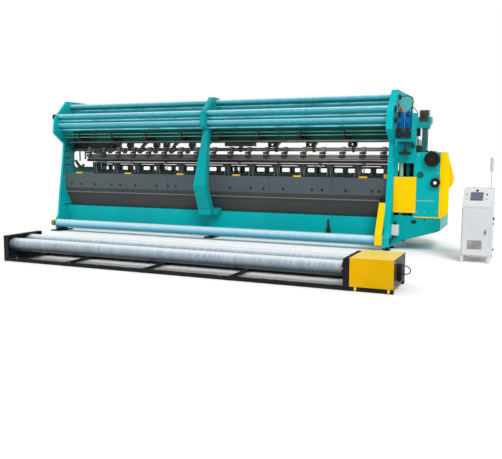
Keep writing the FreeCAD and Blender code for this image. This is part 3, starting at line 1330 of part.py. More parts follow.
winder_plate("winder_left_plate", -1)
winder_plate("winder_right_plate", 1)
rails = [
    box("winder_front_rail", ("winder_left + winder_plate_width", "winder_right"),
        ("winder_front", "winder_front + rail_width"), ("rail_pad", "rail_pad + rail_height")),
    box("winder_rear_rail", ("winder_left + winder_plate_width", "winder_right"),
        ("winder_back - rail_width", "winder_back"), ("rail_pad", "rail_pad + rail_height")),
    box("drive_front_rail", ("drive_left", "drive_right"),
        ("winder_front", "winder_front + rail_width"), ("rail_pad", "rail_pad + rail_height")),
    box("drive_rear_rail", ("drive_left", "drive_right"),
        ("winder_back - rail_width", "winder_back"), ("rail_pad", "rail_pad + rail_height"))]

cross_places = ["end_cross_x"] + [f"cross_first + {i} * cross_pitch" for i in range(3)]
node(compound("winder_cross_members", [
    box(f"cross_member_{i}", (f"{x} - cross_width / 2", f"{x} + cross_width / 2"),
        ("winder_front + rail_width", "winder_back - rail_width"), ("rail_pad + 8", "rail_pad + rail_height"))
    for i, x in enumerate(cross_places)]), "winder_cross_members")
pads = [box(f"rail_pad_{end}_{i}", (f"{x} - 32", f"{x} + 32"), (y, f"{y} + rail_width"), ("0", "rail_pad"))
        for end, y in (("front", "winder_front"), ("rear", "winder_back - rail_width"))
        for i, x in enumerate(["winder_left + 38", "cross_first", "cross_first + cross_pitch",
                               "cross_first + 2 * cross_pitch", "winder_right + 38", "drive_right - 34"])]
node(compound("winder_rails", rails + pads), "winder_rails")

for row in (1, 2):
    label = f"winder_roller_{row}"
    node(turned(label, "x", "winder_left", f"winder_{row}_y", f"winder_{row}_z", [
        ("winder_wall + 2", "winder_journal"),
        ("winder_right - winder_left - winder_wall - 36", "winder_radius"), ("14", "winder_radius - 26"),
        ("19 + winder_plate_width", "winder_journal")]), label)

node(box("winder_drive_box", ("drive_left", "drive_right"),
         ("winder_front + 2", "winder_back - 2"), ("drive_low", "drive_high")), "winder_drive_box")
node(turned("winder_motor", "x", "drive_right", "winder_motor_y", "winder_motor_z", [
    ("winder_motor_length - 12", "winder_motor_radius"), ("12", "winder_motor_radius - 14")]), "winder_motor")


def make_lead():
    """The motor's lead: out of the box, round in a loop and into the motor's end."""
    face = value("drive_right")
    end = Vector(face + value("winder_motor_length"), value("winder_motor_y - 10"),
                 value("winder_motor_z - 15"))
    out = face + value("lead_reach")
    side = end.y - value("lead_side")
    points = [Vector(face, side, value("lead_z")), Vector(out, side, value("lead_z")),
              Vector(out, end.y, end.z), end]
    runs = [points[i + 1] - points[i] for i in range(3)]
    edges = []
    start = points[0]
    for i in (1, 2):
        before, after = runs[i - 1], runs[i]
        turn = before.getAngle(after)
        reach = 0.45 * min(before.Length, after.Length)
        radius = reach / math.tan(turn / 2)
        print(f"lead bend {i}: radius {radius:.1f} mm")
        enter = points[i] - Vector(before).normalize() * reach
        leave = points[i] + Vector(after).normalize() * reach
        bisector = (Vector(after).normalize() - Vector(before).normalize()).normalize()
        middle = points[i] + bisector * (radius / math.cos(turn / 2) - radius)
        edges += [Part.LineSegment(start, enter).toShape(), Part.Arc(enter, middle, leave).toShape()]
        start = leave
    edges.append(Part.LineSegment(start, points[3]).toShape())
    path = Part.Wire(edges)
    radius = value("lead_radius")
    section = Part.Wire(Part.Circle(points[0], runs[0], radius).toShape())
    tube = path.makePipeShell([section], True, False)
    share = tube.Volume / (math.pi * radius ** 2 * path.Length)
    print(f"lead: length {path.Length:.1f} mm, volume {share:.4f}")
    item = document.addObject("Part::Feature", "winder_motor_lead")
    item.Shape = tube
    return node(item, "winder_motor_lead")


make_lead()

# ---------------------------------------------------------------- cabinet

# the place of each button and of the knob along X and up the sloping panel, and its radius
BUTTONS = {
    "start_button": ("button_left", "button_up_high", "button_radius"),
    "jog_button": ("button_left", "button_up_low", "button_radius"),
    "stop_button": ("button_right", "button_up_high", "button_radius"),
    "reset_button": ("button_right", "button_up_low", "button_radius"),
    "selector_knob": ("screen_x", "knob_up", "knob_radius"),
}


# the door swings about an upright axis at the middle of its thickness
HINGE_X = "cabinet_left + 9"
HINGE_Y = "cabinet_front - slide_gap - door_thick / 2"
HINGES = [("low", "hinge_low_z"), ("high", "hinge_high_z")]


def on_slope(item, x, up, out="0"):
    """Place an object on the sloping panel: its own Z stands out of the panel."""
    half = "0.7071067811865476"
    return place(item, x, f"cabinet_front + (({up}) - ({out})) * {half}",
                 f"desk_top + cabinet_front - desk_slope_y + (({up}) + ({out})) * {half}", SLOPE)


def button_well(label):
    """The round well that a button travels in."""
    x, up, radius = BUTTONS[label]
    item = document.addObject("Part::Cylinder", label + "_well")
    bind(item, "Radius", f"{radius} + slide_gap")
    bind(item, "Height", "button_root + button_travel + 20")
    return on_slope(item, x, up, "-button_root - button_travel - 1")


def knuckle(name, x, y, low, high):
    """A hinge's barrel with the tab that joins it to body or door."""
    return [rod(name + "_barrel", "z", HINGE_X, HINGE_Y, low, "hinge_radius", f"{high} - ({low})"),
            box(name + "_tab", x, y, (low, high))]


def make_cabinet():
    """Sheet-metal cabinet: body, sloping desk, four legs and hinge leaves, open at the front for the door."""
    body = body_of("cabinet_shell")
    sketch = sketch_at(body, "x", "cabinet_left")
    outline(sketch, [("cabinet_front", "cabinet_low"), ("cabinet_back", "cabinet_low"),
                     ("cabinet_back", "desk_top"), ("desk_slope_y", "desk_top"),
                     ("cabinet_front", "desk_top + cabinet_front - desk_slope_y")])
    pad(body, sketch, "x", "cabinet_right - cabinet_left")
    inside = sketch_at(body, "y", "cabinet_front + cabinet_wall")
    outline(inside, [("cabinet_left + cabinet_wall", "cabinet_low + cabinet_wall"),
                     ("cabinet_right - cabinet_wall", "cabinet_low + cabinet_wall"),
                     ("cabinet_right - cabinet_wall", "desk_z"), ("cabinet_left + cabinet_wall", "desk_z")])
    pocket(body, inside, "y", "cabinet_back - cabinet_front - 2 * cabinet_wall")
    mouth = sketch_at(body, "y", "cabinet_front")
    outline(mouth, [("cabinet_left + door_border", "door_low"), ("cabinet_right - door_border", "door_low"),
                    ("cabinet_right - door_border", "door_top"), ("cabinet_left + door_border", "door_top")])
    pocket(body, mouth, "y", "cabinet_wall")
    legs = sketch_at(body, "z", "0")
    for x0, x1 in (("cabinet_left", "cabinet_left + 40"), ("cabinet_right - 40", "cabinet_right")):
        for y0, y1 in (("cabinet_front", "cabinet_front + 40"), ("cabinet_back - 40", "cabinet_back")):
            outline(legs, [(x0, y0), (x1, y0), (x1, y1), (x0, y1)])
    pad(body, legs, "z", "cabinet_low")
    leaves = []
    for name, z in HINGES:
        leaves += knuckle(f"{name}_leaf", (f"{HINGE_X} - hinge_radius", f"{HINGE_X} + hinge_radius"),
                          (HINGE_Y, "cabinet_front"), f"{z} - hinge_length", f"{z} - slide_gap / 2")
    wells = compound("button_wells", [button_well(label) for label in BUTTONS] + [
        rod("stop_well", "x", "cabinet_right - 2 * cabinet_wall", "switch_y", "stop_z", "stop_stem + slide_gap",
            "4 * cabinet_wall")])
    return node(cut("cabinet_body", fuse("cabinet_casing", [body] + leaves), wells), "cabinet_body")


make_cabinet()


def make_door():
    """The cabinet door, with a vent grille and a knuckle at each hinge."""
    body = body_of("door_leaf")
    back = "cabinet_front - slide_gap"
    front = f"{back} - door_thick"
    sketch = sketch_at(body, "y", front)
    outline(sketch, [("cabinet_left + door_border - door_lap", "door_low - door_lap"),
                     ("cabinet_right - door_border + door_lap", "door_low - door_lap"),
                     ("cabinet_right - door_border + door_lap", "door_top + door_lap"),
                     ("cabinet_left + door_border - door_lap", "door_top + door_lap")])
    pad(body, sketch, "y", "door_thick")
    vent = sketch_at(body, "y", front)
    rounded(vent, "lock_x - 240", "lock_x - 44", "lock_z - 236", "lock_z - 224", "5.9")
    slot = pocket(body, vent, "y", "door_thick")
    repeat(body, slot, vent, "96", "5", "V_Axis")
    members = [body]
    for name, z in HINGES:
        members += knuckle(f"{name}_door", (HINGE_X, "cabinet_left + door_border - door_lap + 1"),
                           (f"{HINGE_Y} - 5", f"{HINGE_Y} + 5"), f"{z} + slide_gap / 2",
                           f"{z} + hinge_length")
    return node(fuse("cabinet_door", members), "cabinet_door")


make_door()



def make_handle():
    """The upright paddle that unlocks the door."""
    body = body_of("door_handle")
    sketch = sketch_at(body, "y", "cabinet_front - 2 * slide_gap - door_thick - handle_thick")
    rounded(sketch, "lock_x - handle_width / 2", "lock_x + handle_width / 2", "lock_z - handle_height / 2",
            "lock_z + handle_height / 2", "handle_width / 2 - 1")
    pad(body, sketch, "y", "handle_thick")
    return node(body, "door_handle")


make_handle()


def slope_button(label):
    """A push button that stands in its well."""
    x, up, radius = BUTTONS[label]
    item = document.addObject("Part::Cylinder", label)
    bind(item, "Radius", radius)
    bind(item, "Height", "button_height + button_root")
    return node(on_slope(item, x, up, "-button_root"), label)


for button in BUTTONS:
    slope_button(button)

screen = document.addObject("Part::Box", "screen")
bind(screen, "Length", "screen_width")
bind(screen, "Width", "screen_height")
bind(screen, "Height", "screen_thick")
node(on_slope(screen, "screen_x - screen_width / 2", "screen_up - screen_height / 2"), "screen")

node(turned("main_switch", "x", "cabinet_right + slide_gap", "switch_y", "switch_z", [
    ("8", "24"), ("18", "14")]), "main_switch")
node(turned("emergency_stop", "x", "cabinet_right - cabinet_wall - 6", "switch_y", "stop_z", [
    ("cabinet_wall + 7 + button_travel", "stop_stem"), ("12", "stop_radius")]), "emergency_stop")
node(turned("signal_lamp", "z", "lamp_x", "lamp_y", "desk_top", [
    ("6", "22"), ("pole_top - desk_top - 6", "7"), ("8", "lamp_radius - 5"),
    ("lamp_top - pole_top - 16", "lamp_radius"), ("8", "lamp_radius - 6")]), "signal_lamp")

# ---------------------------------------------------------------- checks and export

document.recompute()
faults = [item.Name for item in document.Objects if {"Invalid", "Error"} & set(item.State)]
for item in document.Objects:
    if item.TypeId == "PartDesign::Pocket" and item.BaseFeature:
        if item.Shape.Volume > item.BaseFeature.Shape.Volume - 1:
            faults.append(item.Name + " cuts nothing")
for item in NODES:
    if item.Shape.isNull() or not item.Shape.isValid() or not item.Shape.Solids:
        faults.append(item.Label + " has no valid solid")
if faults:
    sys.exit("failed: " + ", ".join(faults))

os.makedirs("parts", exist_ok=True)
for item in NODES:
    item.Shape.exportStep(f"parts/{item.Label}.step")
print(len(NODES), "pieces written")
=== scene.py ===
import math

import bmesh
import bpy
from bpy.props import FloatProperty, FloatVectorProperty, IntProperty, PointerProperty
from mathutils import Euler, Matrix, Vector


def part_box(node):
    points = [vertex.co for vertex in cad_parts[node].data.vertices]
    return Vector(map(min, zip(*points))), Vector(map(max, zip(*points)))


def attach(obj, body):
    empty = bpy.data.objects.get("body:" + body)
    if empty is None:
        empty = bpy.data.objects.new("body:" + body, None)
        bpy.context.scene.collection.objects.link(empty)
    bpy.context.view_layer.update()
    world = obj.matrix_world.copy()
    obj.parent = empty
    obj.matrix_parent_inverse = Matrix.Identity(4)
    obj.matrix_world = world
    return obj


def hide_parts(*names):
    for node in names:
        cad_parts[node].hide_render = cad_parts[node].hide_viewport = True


# Finishes, fine parts, studio and camera for the net knitting machine. All lengths are in
# metres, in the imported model's own frame: X along the machine, +Y away from the operator, Z up.

bl_info = {
    "name": "Net Knitting Machine",
    "version": (1, 0, 0),
    "blender": (4, 5, 0),
    "location": "View3D > Sidebar > Knitting",
    "description": "Finishes, fine parts, studio and camera for the net knitting machine",
    "category": "Object",
}

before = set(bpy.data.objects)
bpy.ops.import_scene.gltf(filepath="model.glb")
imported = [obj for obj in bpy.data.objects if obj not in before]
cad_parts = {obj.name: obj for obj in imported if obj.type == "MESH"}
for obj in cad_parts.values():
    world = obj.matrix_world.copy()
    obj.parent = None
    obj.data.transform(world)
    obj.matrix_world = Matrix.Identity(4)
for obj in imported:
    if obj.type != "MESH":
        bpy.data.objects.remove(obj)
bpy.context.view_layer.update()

AXES = {
    "x": Matrix.Rotation(math.radians(90), 4, "Y"),
    "z": Matrix.Identity(4),
    "-x": Matrix.Rotation(math.radians(-90), 4, "Y"),
    "-y": Matrix.Rotation(math.radians(90), 4, "X"),
    "-z": Matrix.Rotation(math.radians(180), 4, "X"),
    # straight out of the cabinet's sloping panel
    "slope": Matrix.Rotation(math.radians(45), 4, "X"),
}

# ---------------------------------------------------------------- places on the machine

# the winder motor's lead, from the drive box down into the motor
LEAD = [(4.098, -3.440, 0.312), (4.241, -3.440, 0.314), (4.241, -3.340, 0.188),
        (4.146, -3.340, 0.190)]
LEAD_RADIUS = 0.006

# swing shaft: height of its axis, front of the clamps on it, and the guide bar arms along it
SWING_Z = 1.634
CLAMP_FACE = 0.204
ARMS = [-2.816 + 0.352 * i for i in range(18)]
HALF_ARM_PITCH = (ARMS[1] - ARMS[0]) / 2
# middle of each flange bearing in a stand: y, z
BEARINGS = [(0.250, 2.490), (-0.127, 2.274), (-0.115, 2.098), (-0.250, 0.160), (0.560, 0.700),
            (0.365, 0.942), (0.250, SWING_Z)]
LEFT_OUTER_FACE = -3.417
# underside of the top beam, and the front of the blocks that hang from it:
# narrow ones at the left, wide ones at the right
BEAM_UNDERSIDE = 1.7595
BLOCK_FACE = 0.306
NARROW_BLOCKS = [-2.221, -1.931, -1.320, -1.095, -0.530]
WIDE_BLOCKS = [1.121, 1.843, 2.603]
# tension brackets on the top beam
HOOKS = [-2.917 + 0.777 * i for i in range(8)]
# arches of the trick plate casting: pillar pitch, first pillar and first opening
ARCH_PITCH = 0.492
FIRST_PILLAR = -2.706
FIRST_OPENING = -2.460

# sump: screws and seams of the upright band, lower edge of the band, rail along the slope
SUMP_SCREWS = [-3.115, -2.883, -2.550, -2.156, -1.947, -1.598, -1.122, -0.869, -0.704, 0.428,
               0.838, 1.082, 1.457, 1.985, 2.164, 2.582, 3.024, 3.145]
SUMP_SCREW_Z = 0.945
SUMP_SEAMS = (-0.887, 1.190, 2.329)
SUMP_FOLD_Z = 0.870
BEAD_Z = 0.790

# drive end: front face of the gearbox and of the bracket under it, then x and z of round parts
GEAR_FACE = -0.050
OIL_GLASS = (3.811, 1.228)
HAND_WHEEL = (3.990, 1.475)
FEED_PULLEY = (4.050, 1.105)
FEED_MOTORS = (3.461, 3.589)
FEED_MOTOR_FACE = -0.0570
ENCODER = (Vector((3.773, -0.050, 2.083)), Vector((3.890, 0.100, 2.242)))

# winder: height of each roller's axis, and the motor's axis
WINDER_ROLLERS = ((1, 0.225, "winder_front"), (2, 0.249, "winder_rear"))
WINDER_MOTOR = (-3.330, 0.205)

# cabinet: lower left and upper right corner of the door's grille
GRILLE = (Vector((4.635, 0, 0.200)), Vector((4.832, 0, 0.326)))


def low(node):
    """Lowest corner of a node."""
    return Vector(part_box(node)[0])


def high(node):
    """Highest corner of a node."""
    return Vector(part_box(node)[1])


# ---------------------------------------------------------------- settings


def colour(name, description, default):
    """A colour that a user can change."""
    return FloatVectorProperty(name=name, description=description, subtype="COLOR", size=3,
                               min=0, max=1, default=default)


def length(name, description, default):
    """A length that a user can change."""
    return FloatProperty(name=name, description=description, subtype="DISTANCE", unit="LENGTH",
                         default=default)


def angle(name, description, default):
    """An angle that a user can change."""
    return FloatProperty(name=name, description=description, subtype="ANGLE", default=default)


class KnittingColours(bpy.types.PropertyGroup):
    teal: colour("Teal", "Enamel on castings and sheet", (0.0, 0.375, 0.392))
    yellow: colour("Yellow", "Enamel on covers and guards", (0.96, 0.565, 0.0))
    band: colour("Sump band", "Enamel on the upright band of the sump", (0.066, 0.086, 0.097))
    # the sloping part's grey is the band's enamel darkened with painted shade, where the sump faces
    # down
    trough_shade: colour("Sump trough", "Enamel on the sloping part of the sump", (0.066, 0.064, 0.063))
    black: colour("Black", "Enamel on the winder's frame", (0.004, 0.004, 0.004))
    white: colour("White", "Powder coat on the cabinet", (0.605, 0.608, 0.615))
    blue: colour("Blue", "Enamel on the feed motors", (0.0, 0.16, 0.45))
    feed_wrap: colour("Feed wrap", "Grip tape on the feed rollers", (0.06, 0.43, 0.52))
    fabric_wrap: colour("Fabric wrap", "Grip tape on the fabric roller", (0.34, 0.65, 0.77))
    winder_wrap: colour("Winder wrap", "Grip tape on the winder's rollers", (0.29, 0.365, 0.43))
    casting: colour("Casting", "Oiled castings in the knitting zone", (0.018, 0.034, 0.030))
    steel: colour("Steel", "Ground steel", (0.52, 0.53, 0.54))
    bars: colour("Guide bars", "Oiled steel of the guide bars and the swing shaft",
                 (0.13, 0.122, 0.113))
    red: colour("Red", "Emergency stop and the feed motor's connector", (0.50, 0.015, 0.012))


class KnittingSizes(bpy.types.PropertyGroup):
    feed_pitch: length("Feed tape", "Width of the grip tape along a feed roller", 0.032)
    winder_pitch: length("Winder tape", "Width of the grip tape along a winder roller", 0.027)
    needle_pitch: length("Needle pitch", "From needle to needle", 0.012)
    bolt: length("Bolt", "Radius of the sump screws' heads", 0.022)
    screw: length("Screw", "Radius of the cover screws' heads", 0.007)
    edge: length("Edge", "Round that shows on the solids' edges", 0.003)
    fins: IntProperty(name="Fins", description="Cooling fins round a motor", default=28, min=8)


class KnittingStudio(bpy.types.PropertyGroup):
    place: FloatVectorProperty(name="Camera place", description="Where the camera stands",
                               subtype="TRANSLATION", unit="LENGTH",
                               default=(5.3996, -10.6071, 1.4989))
    pan: angle("Pan", "Turn to the left of straight ahead", 0.4054)
    tilt: angle("Tilt", "Turn below the horizon", 0.1122)
    roll: angle("Roll", "Turn about the line of sight", 0.0046)
    lens: FloatProperty(name="Lens", description="Focal length on a 36 mm sensor", unit="CAMERA",
                        default=46.16)
    sun: FloatProperty(name="Sun", description="Strength of the high soft light", default=2.0)
    sky: FloatProperty(name="Sky", description="Strength of the light from all round",
                       default=0.75)


# ---------------------------------------------------------------- shader node groups


class Graph:
    """Short calls that add nodes to one node tree."""

    def __init__(self, tree):
        self.tree = tree

    def add(self, kind, **settings):
        item = self.tree.nodes.new("ShaderNode" + kind)
        for key, setting in settings.items():
            setattr(item, key, setting)
        return item

    def feed(self, socket, source):
        """Link a socket, or set it where the source is a plain value."""
        if isinstance(source, bpy.types.NodeSocket):
            self.tree.links.new(source, socket)
        else:
            socket.default_value = source

    def math(self, operation, *sources, clamp=False):
        """One step of arithmetic on links or numbers."""
        item = self.add("Math", operation=operation, use_clamp=clamp)
        for socket, source in zip(item.inputs, sources):
            self.feed(socket, source)
        return item.outputs[0]

    def times(self, product, *factors):
        """The product of numbers or masks."""
        for factor in factors:
            product = self.math("MULTIPLY", product, factor)
        return product

    def away(self, source, middle):
        """Distance of a coordinate from a middle."""
        return self.math("ABSOLUTE", self.math("SUBTRACT", source, middle))

    def mix(self, factor, first, second, blend="MIX"):
        """The second colour over the first, as far as the factor says."""
        item = self.add("Mix", data_type="RGBA", blend_type=blend)
        self.feed(item.inputs[0], factor)
        self.feed(item.inputs[6], first)
        self.feed(item.inputs[7], second)
        return item.outputs[2]

    def noise(self, vector, scale, detail):
        item = self.add("TexNoise")
        self.feed(item.inputs["Vector"], vector)
        item.inputs["Scale"].default_value = scale
        item.inputs["Detail"].default_value = detail
        return item.outputs["Fac"]

    def band(self, source, start, end):
        """0 before start, 1 after end, smooth between."""
        item = self.add("MapRange", interpolation_type="SMOOTHSTEP")
        for name, number in (("Value", source), ("From Min", start), ("From Max", end)):
            self.feed(item.inputs[name], number)
        return item.outputs["Result"]

    def bump(self, height, strength, distance, normal=None):
        """A normal from a height, over another normal where one is given."""
        item = self.add("Bump")
        item.inputs["Strength"].default_value = strength
        item.inputs["Distance"].default_value = distance
        self.feed(item.inputs["Height"], height)
        if normal is not None:
            self.feed(item.inputs["Normal"], normal)
        return item.outputs[0]

    def place(self):
        """Object coordinates: every piece's origin is the machine's own."""
        return self.add("TexCoord").outputs["Object"]

    def stretch(self, vector, scale):
        item = self.add("Mapping")
        self.feed(item.inputs["Vector"], vector)
        item.inputs["Scale"].default_value = scale
        return item.outputs["Vector"]

    def split(self, vector):
        item = self.add("SeparateXYZ")
        self.feed(item.inputs[0], vector)
        return item.outputs

    def spot(self):
        """The place on the machine, as X, Y and Z."""
        return self.split(self.place())

    def upward(self):
        """How far the surface faces up."""
        return self.split(self.add("NewGeometry").outputs["True Normal"])["Z"]


def new_group(name, inputs, outputs):
    """An empty node group with named sockets; gives its graph, inputs and output node."""
    tree = bpy.data.node_groups.new(name, "ShaderNodeTree")
    for side, sockets in (("INPUT", inputs), ("OUTPUT", outputs)):
        for label, kind in sockets:
            tree.interface.new_socket(label, in_out=side, socket_type="NodeSocket" + kind)
    return (Graph(tree), tree.nodes.new("NodeGroupInput").outputs,
            tree.nodes.new("NodeGroupOutput").inputs)


def group(graph, name, **values):
    """Place a node group in a material and set its inputs."""
    item = graph.tree.nodes.new("ShaderNodeGroup")
    item.node_tree = bpy.data.node_groups[name]
    for key, source in values.items():
        graph.feed(item.inputs[key.replace("_", " ").capitalize()], source)
    return item.outputs


def make_edge_group():
    """Edges that catch light: a rounded normal, and a mask that is 1 on worn edges."""
    graph, inputs, outputs = new_group("Edge Wear", [("Radius", "Float")],
                                       [("Edge", "Float"), ("Normal", "Vector")])
    bevel = graph.add("Bevel", samples=4)
    graph.feed(bevel.inputs["Radius"], inputs["Radius"])
    facing = graph.add("VectorMath", operation="DOT_PRODUCT")
    graph.feed(facing.inputs[0], bevel.outputs[0])
    graph.feed(facing.inputs[1], graph.add("NewGeometry").outputs["True Normal"])
    sharp = graph.band(facing.outputs["Value"], 0.97, 0.80)
    patchy = graph.band(graph.noise(graph.place(), 9.0, 5.0), 0.42, 0.62)
    graph.feed(outputs["Edge"], graph.times(sharp, patchy))
    graph.feed(outputs["Normal"], bevel.outputs[0])


def make_dust_group():
    """Dust and lint that lie on what faces up, thinner on what stands upright."""
    graph, inputs, outputs = new_group("Dust", [("Amount", "Float")], [("Mask", "Float")])
    lying = graph.band(graph.upward(), 0.1, 0.95)
    spots = graph.band(graph.noise(graph.place(), 5.0, 8.0), 0.30, 0.78)
    film = graph.math("MULTIPLY_ADD", lying, 0.75, 0.25)
    graph.feed(outputs["Mask"], graph.math("MULTIPLY", graph.times(film, spots),
                                           inputs["Amount"], clamp=True))


def make_skin_group():
    """The fine texture of sprayed enamel over a casting or sheet: a height and a patchy shade."""
    graph, inputs, outputs = new_group("Enamel Skin", [("Coarse", "Float")],
                                       [("Height", "Float"), ("Shade", "Float")])
    place = graph.place()
    fine = graph.noise(place, 420.0, 2.0)
    coarse = graph.noise(place, 60.0, 4.0)
    graph.feed(outputs["Height"], graph.math("MULTIPLY_ADD", coarse, inputs["Coarse"], fine))
    graph.feed(outputs["Shade"], graph.noise(place, 1.4, 4.0))


def make_wrap_group():
    """Tape wound round a roller: a seam line, a height and a shade for each turn."""
    graph, inputs, outputs = new_group(
        "Wound Tape", [("Pitch", "Float"), ("Axis y", "Float"), ("Axis z", "Float")],
        [("Seam", "Float"), ("Shade", "Float"), ("Height", "Float")])
    spot = graph.spot()
    turn = graph.math("ARCTAN2", graph.math("SUBTRACT", spot["Z"], inputs["Axis z"]),
                      graph.math("SUBTRACT", spot["Y"], inputs["Axis y"]))
    turns = graph.math("ADD", graph.math("DIVIDE", spot["X"], inputs["Pitch"]),
                       graph.math("DIVIDE", turn, math.tau))
    from_seam = graph.away(graph.math("FRACT", turns), 0.5)
    graph.feed(outputs["Seam"], graph.band(from_seam, 0.40, 0.49))
    random_turn = graph.add("TexWhiteNoise", noise_dimensions="1D")
    graph.feed(random_turn.inputs["W"], graph.math("FLOOR", turns))
    graph.feed(outputs["Shade"], random_turn.outputs["Value"])
    graph.feed(outputs["Height"], graph.math("SUBTRACT", 0.5, from_seam))


def make_brushed_group():
    """Fine marks along X, as on ground bars: a height and a shade."""
    graph, _, outputs = new_group("Ground Marks", [], [("Height", "Float"), ("Shade", "Float")])
    place = graph.place()
    marks = graph.noise(graph.stretch(place, (6.0, 900.0, 900.0)), 1.0, 2.0)
    graph.feed(outputs["Height"], marks)
    graph.feed(outputs["Shade"], graph.noise(place, 3.0, 5.0))


# ---------------------------------------------------------------- materials

MATERIALS = {}
# tint of the gloss on each kind of enamel
COOL, WARM, DEEP, PLAIN = (0.25, 1.0, 1.0), (1.0, 0.75, 0.25), (0.3, 0.6, 1.0), (1.0, 1.0, 1.0)
# the finish of each CAD node
NODE_FINISHES = {
    "left_stand": ("left_stand",),
    "rails": ("winder_rails",),
    "teal": ("base_beam",),
    "dull_teal": ("stock_bracket",),
    "right_stand": ("right_stand",),
    "cover": ("gearbox_side_cover",),
    "strut": ("centre_strut",),
    "stock": ("head_stock",),
    "chain_case": ("chain_guard",),
    "box": ("junction_box",),
    "beam": ("top_beam",),
    "gearbox": ("gearbox",),
    "drive_box": ("winder_drive_box",),
    "caps": ("sump_caps",),
    "yellow": ("front_panel", "belt_guard"),
    "band": ("sump_panel",),
    "black": ("machine_feet", "winder_left_plate", "winder_right_plate", "winder_cross_members",
              "winder_motor", "hand_wheel", "feed_pulley"),
    "casting": ("flange_bearings", "tension_brackets", "trick_plate", "shaft_hangers",
                "cam_boxes"),
    "bars": ("guide_bar_front", "guide_bar_rear", "yarn_reed"),
    "swing": ("swing_shaft",),
    "rods": ("yarn_rods",),
    "steel": ("needle_bar", "main_shaft"),
    "motors": ("feed_motors",),
    "blue": ("main_motor",),
    "pattern": ("pattern_drive",),
    "white": ("cabinet_body", "cabinet_door"),
    "shade": ("door_handle",),
    "lamp": ("signal_lamp", "start_button", "jog_button", "reset_button"),
    "rubber": ("adjusting_wheel", "winder_motor_lead", "main_switch", "stop_button",
               "selector_knob"),
    "red": ("emergency_stop",),
    "screen": ("screen",),
}


def new_material(name):
    """A material with a Principled shader; gives its graph and the shader."""
    material = bpy.data.materials.new(name)
    material.use_nodes = True
    material.node_tree.nodes.clear()
    graph = Graph(material.node_tree)
    shader = graph.add("BsdfPrincipled")
    output = graph.add("OutputMaterial")
    graph.feed(output.inputs["Surface"], shader.outputs["BSDF"])
    MATERIALS[name] = material
    return graph, shader


def opaque(rgb):
    return (*rgb, 1.0)


def darker(rgb, factor):
    """A colour scaled by a factor, as a shader takes it."""
    return opaque(channel * factor for channel in rgb)


def enamel(name, paint, edge, roughness=0.34, coarse=0.0, worn=(0.20, 0.21, 0.21), wear=0.35,
           dust=0.04, shine=PLAIN, gloss=0.16):
    """Sprayed enamel with worn edges and a little dust; paint is a colour or a paint_ function."""
    graph, shader = new_material(name)
    skin = group(graph, "Enamel Skin", coarse=coarse)
    edges = group(graph, "Edge Wear", radius=edge)
    film = group(graph, "Dust", amount=dust)["Mask"]
    first = paint(graph) if callable(paint) else opaque(paint)
    faded = graph.mix(1.0, first, (0.86, 0.90, 0.92, 1), "MULTIPLY")
    shaded = graph.mix(graph.band(skin["Shade"], 0.35, 0.70), first, faded)
    scuffed = graph.mix(graph.times(edges["Edge"], wear), shaded, opaque(worn))
    graph.feed(shader.inputs["Base Color"], graph.mix(film, scuffed, (0.62, 0.63, 0.62, 1)))
    graph.feed(shader.inputs["Roughness"], graph.math("MULTIPLY_ADD", film, 0.5, roughness))
    graph.feed(shader.inputs["Normal"], graph.bump(skin["Height"], 0.25, 0.0006, edges["Normal"]))
    shader.inputs["Specular IOR Level"].default_value = gloss
    shader.inputs["Specular Tint"].default_value = opaque(shine)


def metal(name, rgb, edge, roughness=0.30, metallic=1.0, oil=0.0, paint=None):
    """Bare or oiled metal with ground marks and darker patches."""
    graph, shader = new_material(name)
    ground = group(graph, "Ground Marks")
    edges = group(graph, "Edge Wear", radius=edge)
    first = paint(graph) if paint else opaque(rgb)
    dark = graph.mix(1.0, first, (0.55, 0.55, 0.55, 1), "MULTIPLY")
    tone = graph.mix(graph.band(ground["Shade"], 0.40, 0.72), first, dark)
    bright = tuple(min(1.0, channel * 1.5 + 0.06) for channel in rgb)
    worn = graph.mix(graph.times(edges["Edge"], 0.6), tone, opaque(bright))
    graph.feed(shader.inputs["Base Color"], worn)
    graph.feed(shader.inputs["Roughness"],
               graph.math("MULTIPLY_ADD", ground["Shade"], 0.22 - oil, roughness))
    shader.inputs["Metallic"].default_value = metallic
    shader.inputs["Specular IOR Level"].default_value = 0.25
    graph.feed(shader.inputs["Normal"],
               graph.bump(ground["Height"], 0.15, 0.0004, edges["Normal"]))


def plastic(name, rgb, roughness=0.45):
    """Moulded plastic or rubber with a fine grain."""
    graph, shader = new_material(name)
    film = group(graph, "Dust", amount=0.04)["Mask"]
    graph.feed(shader.inputs["Base Color"], graph.mix(film, opaque(rgb), (0.5, 0.5, 0.5, 1)))
    grains = graph.noise(graph.place(), 600.0, 2.0)
    graph.feed(shader.inputs["Roughness"],
               graph.math("MULTIPLY_ADD", grains, 0.2, roughness - 0.1))
    graph.feed(shader.inputs["Normal"], graph.bump(grains, 0.12, 0.0003))
    shader.inputs["Specular IOR Level"].default_value = 0.25


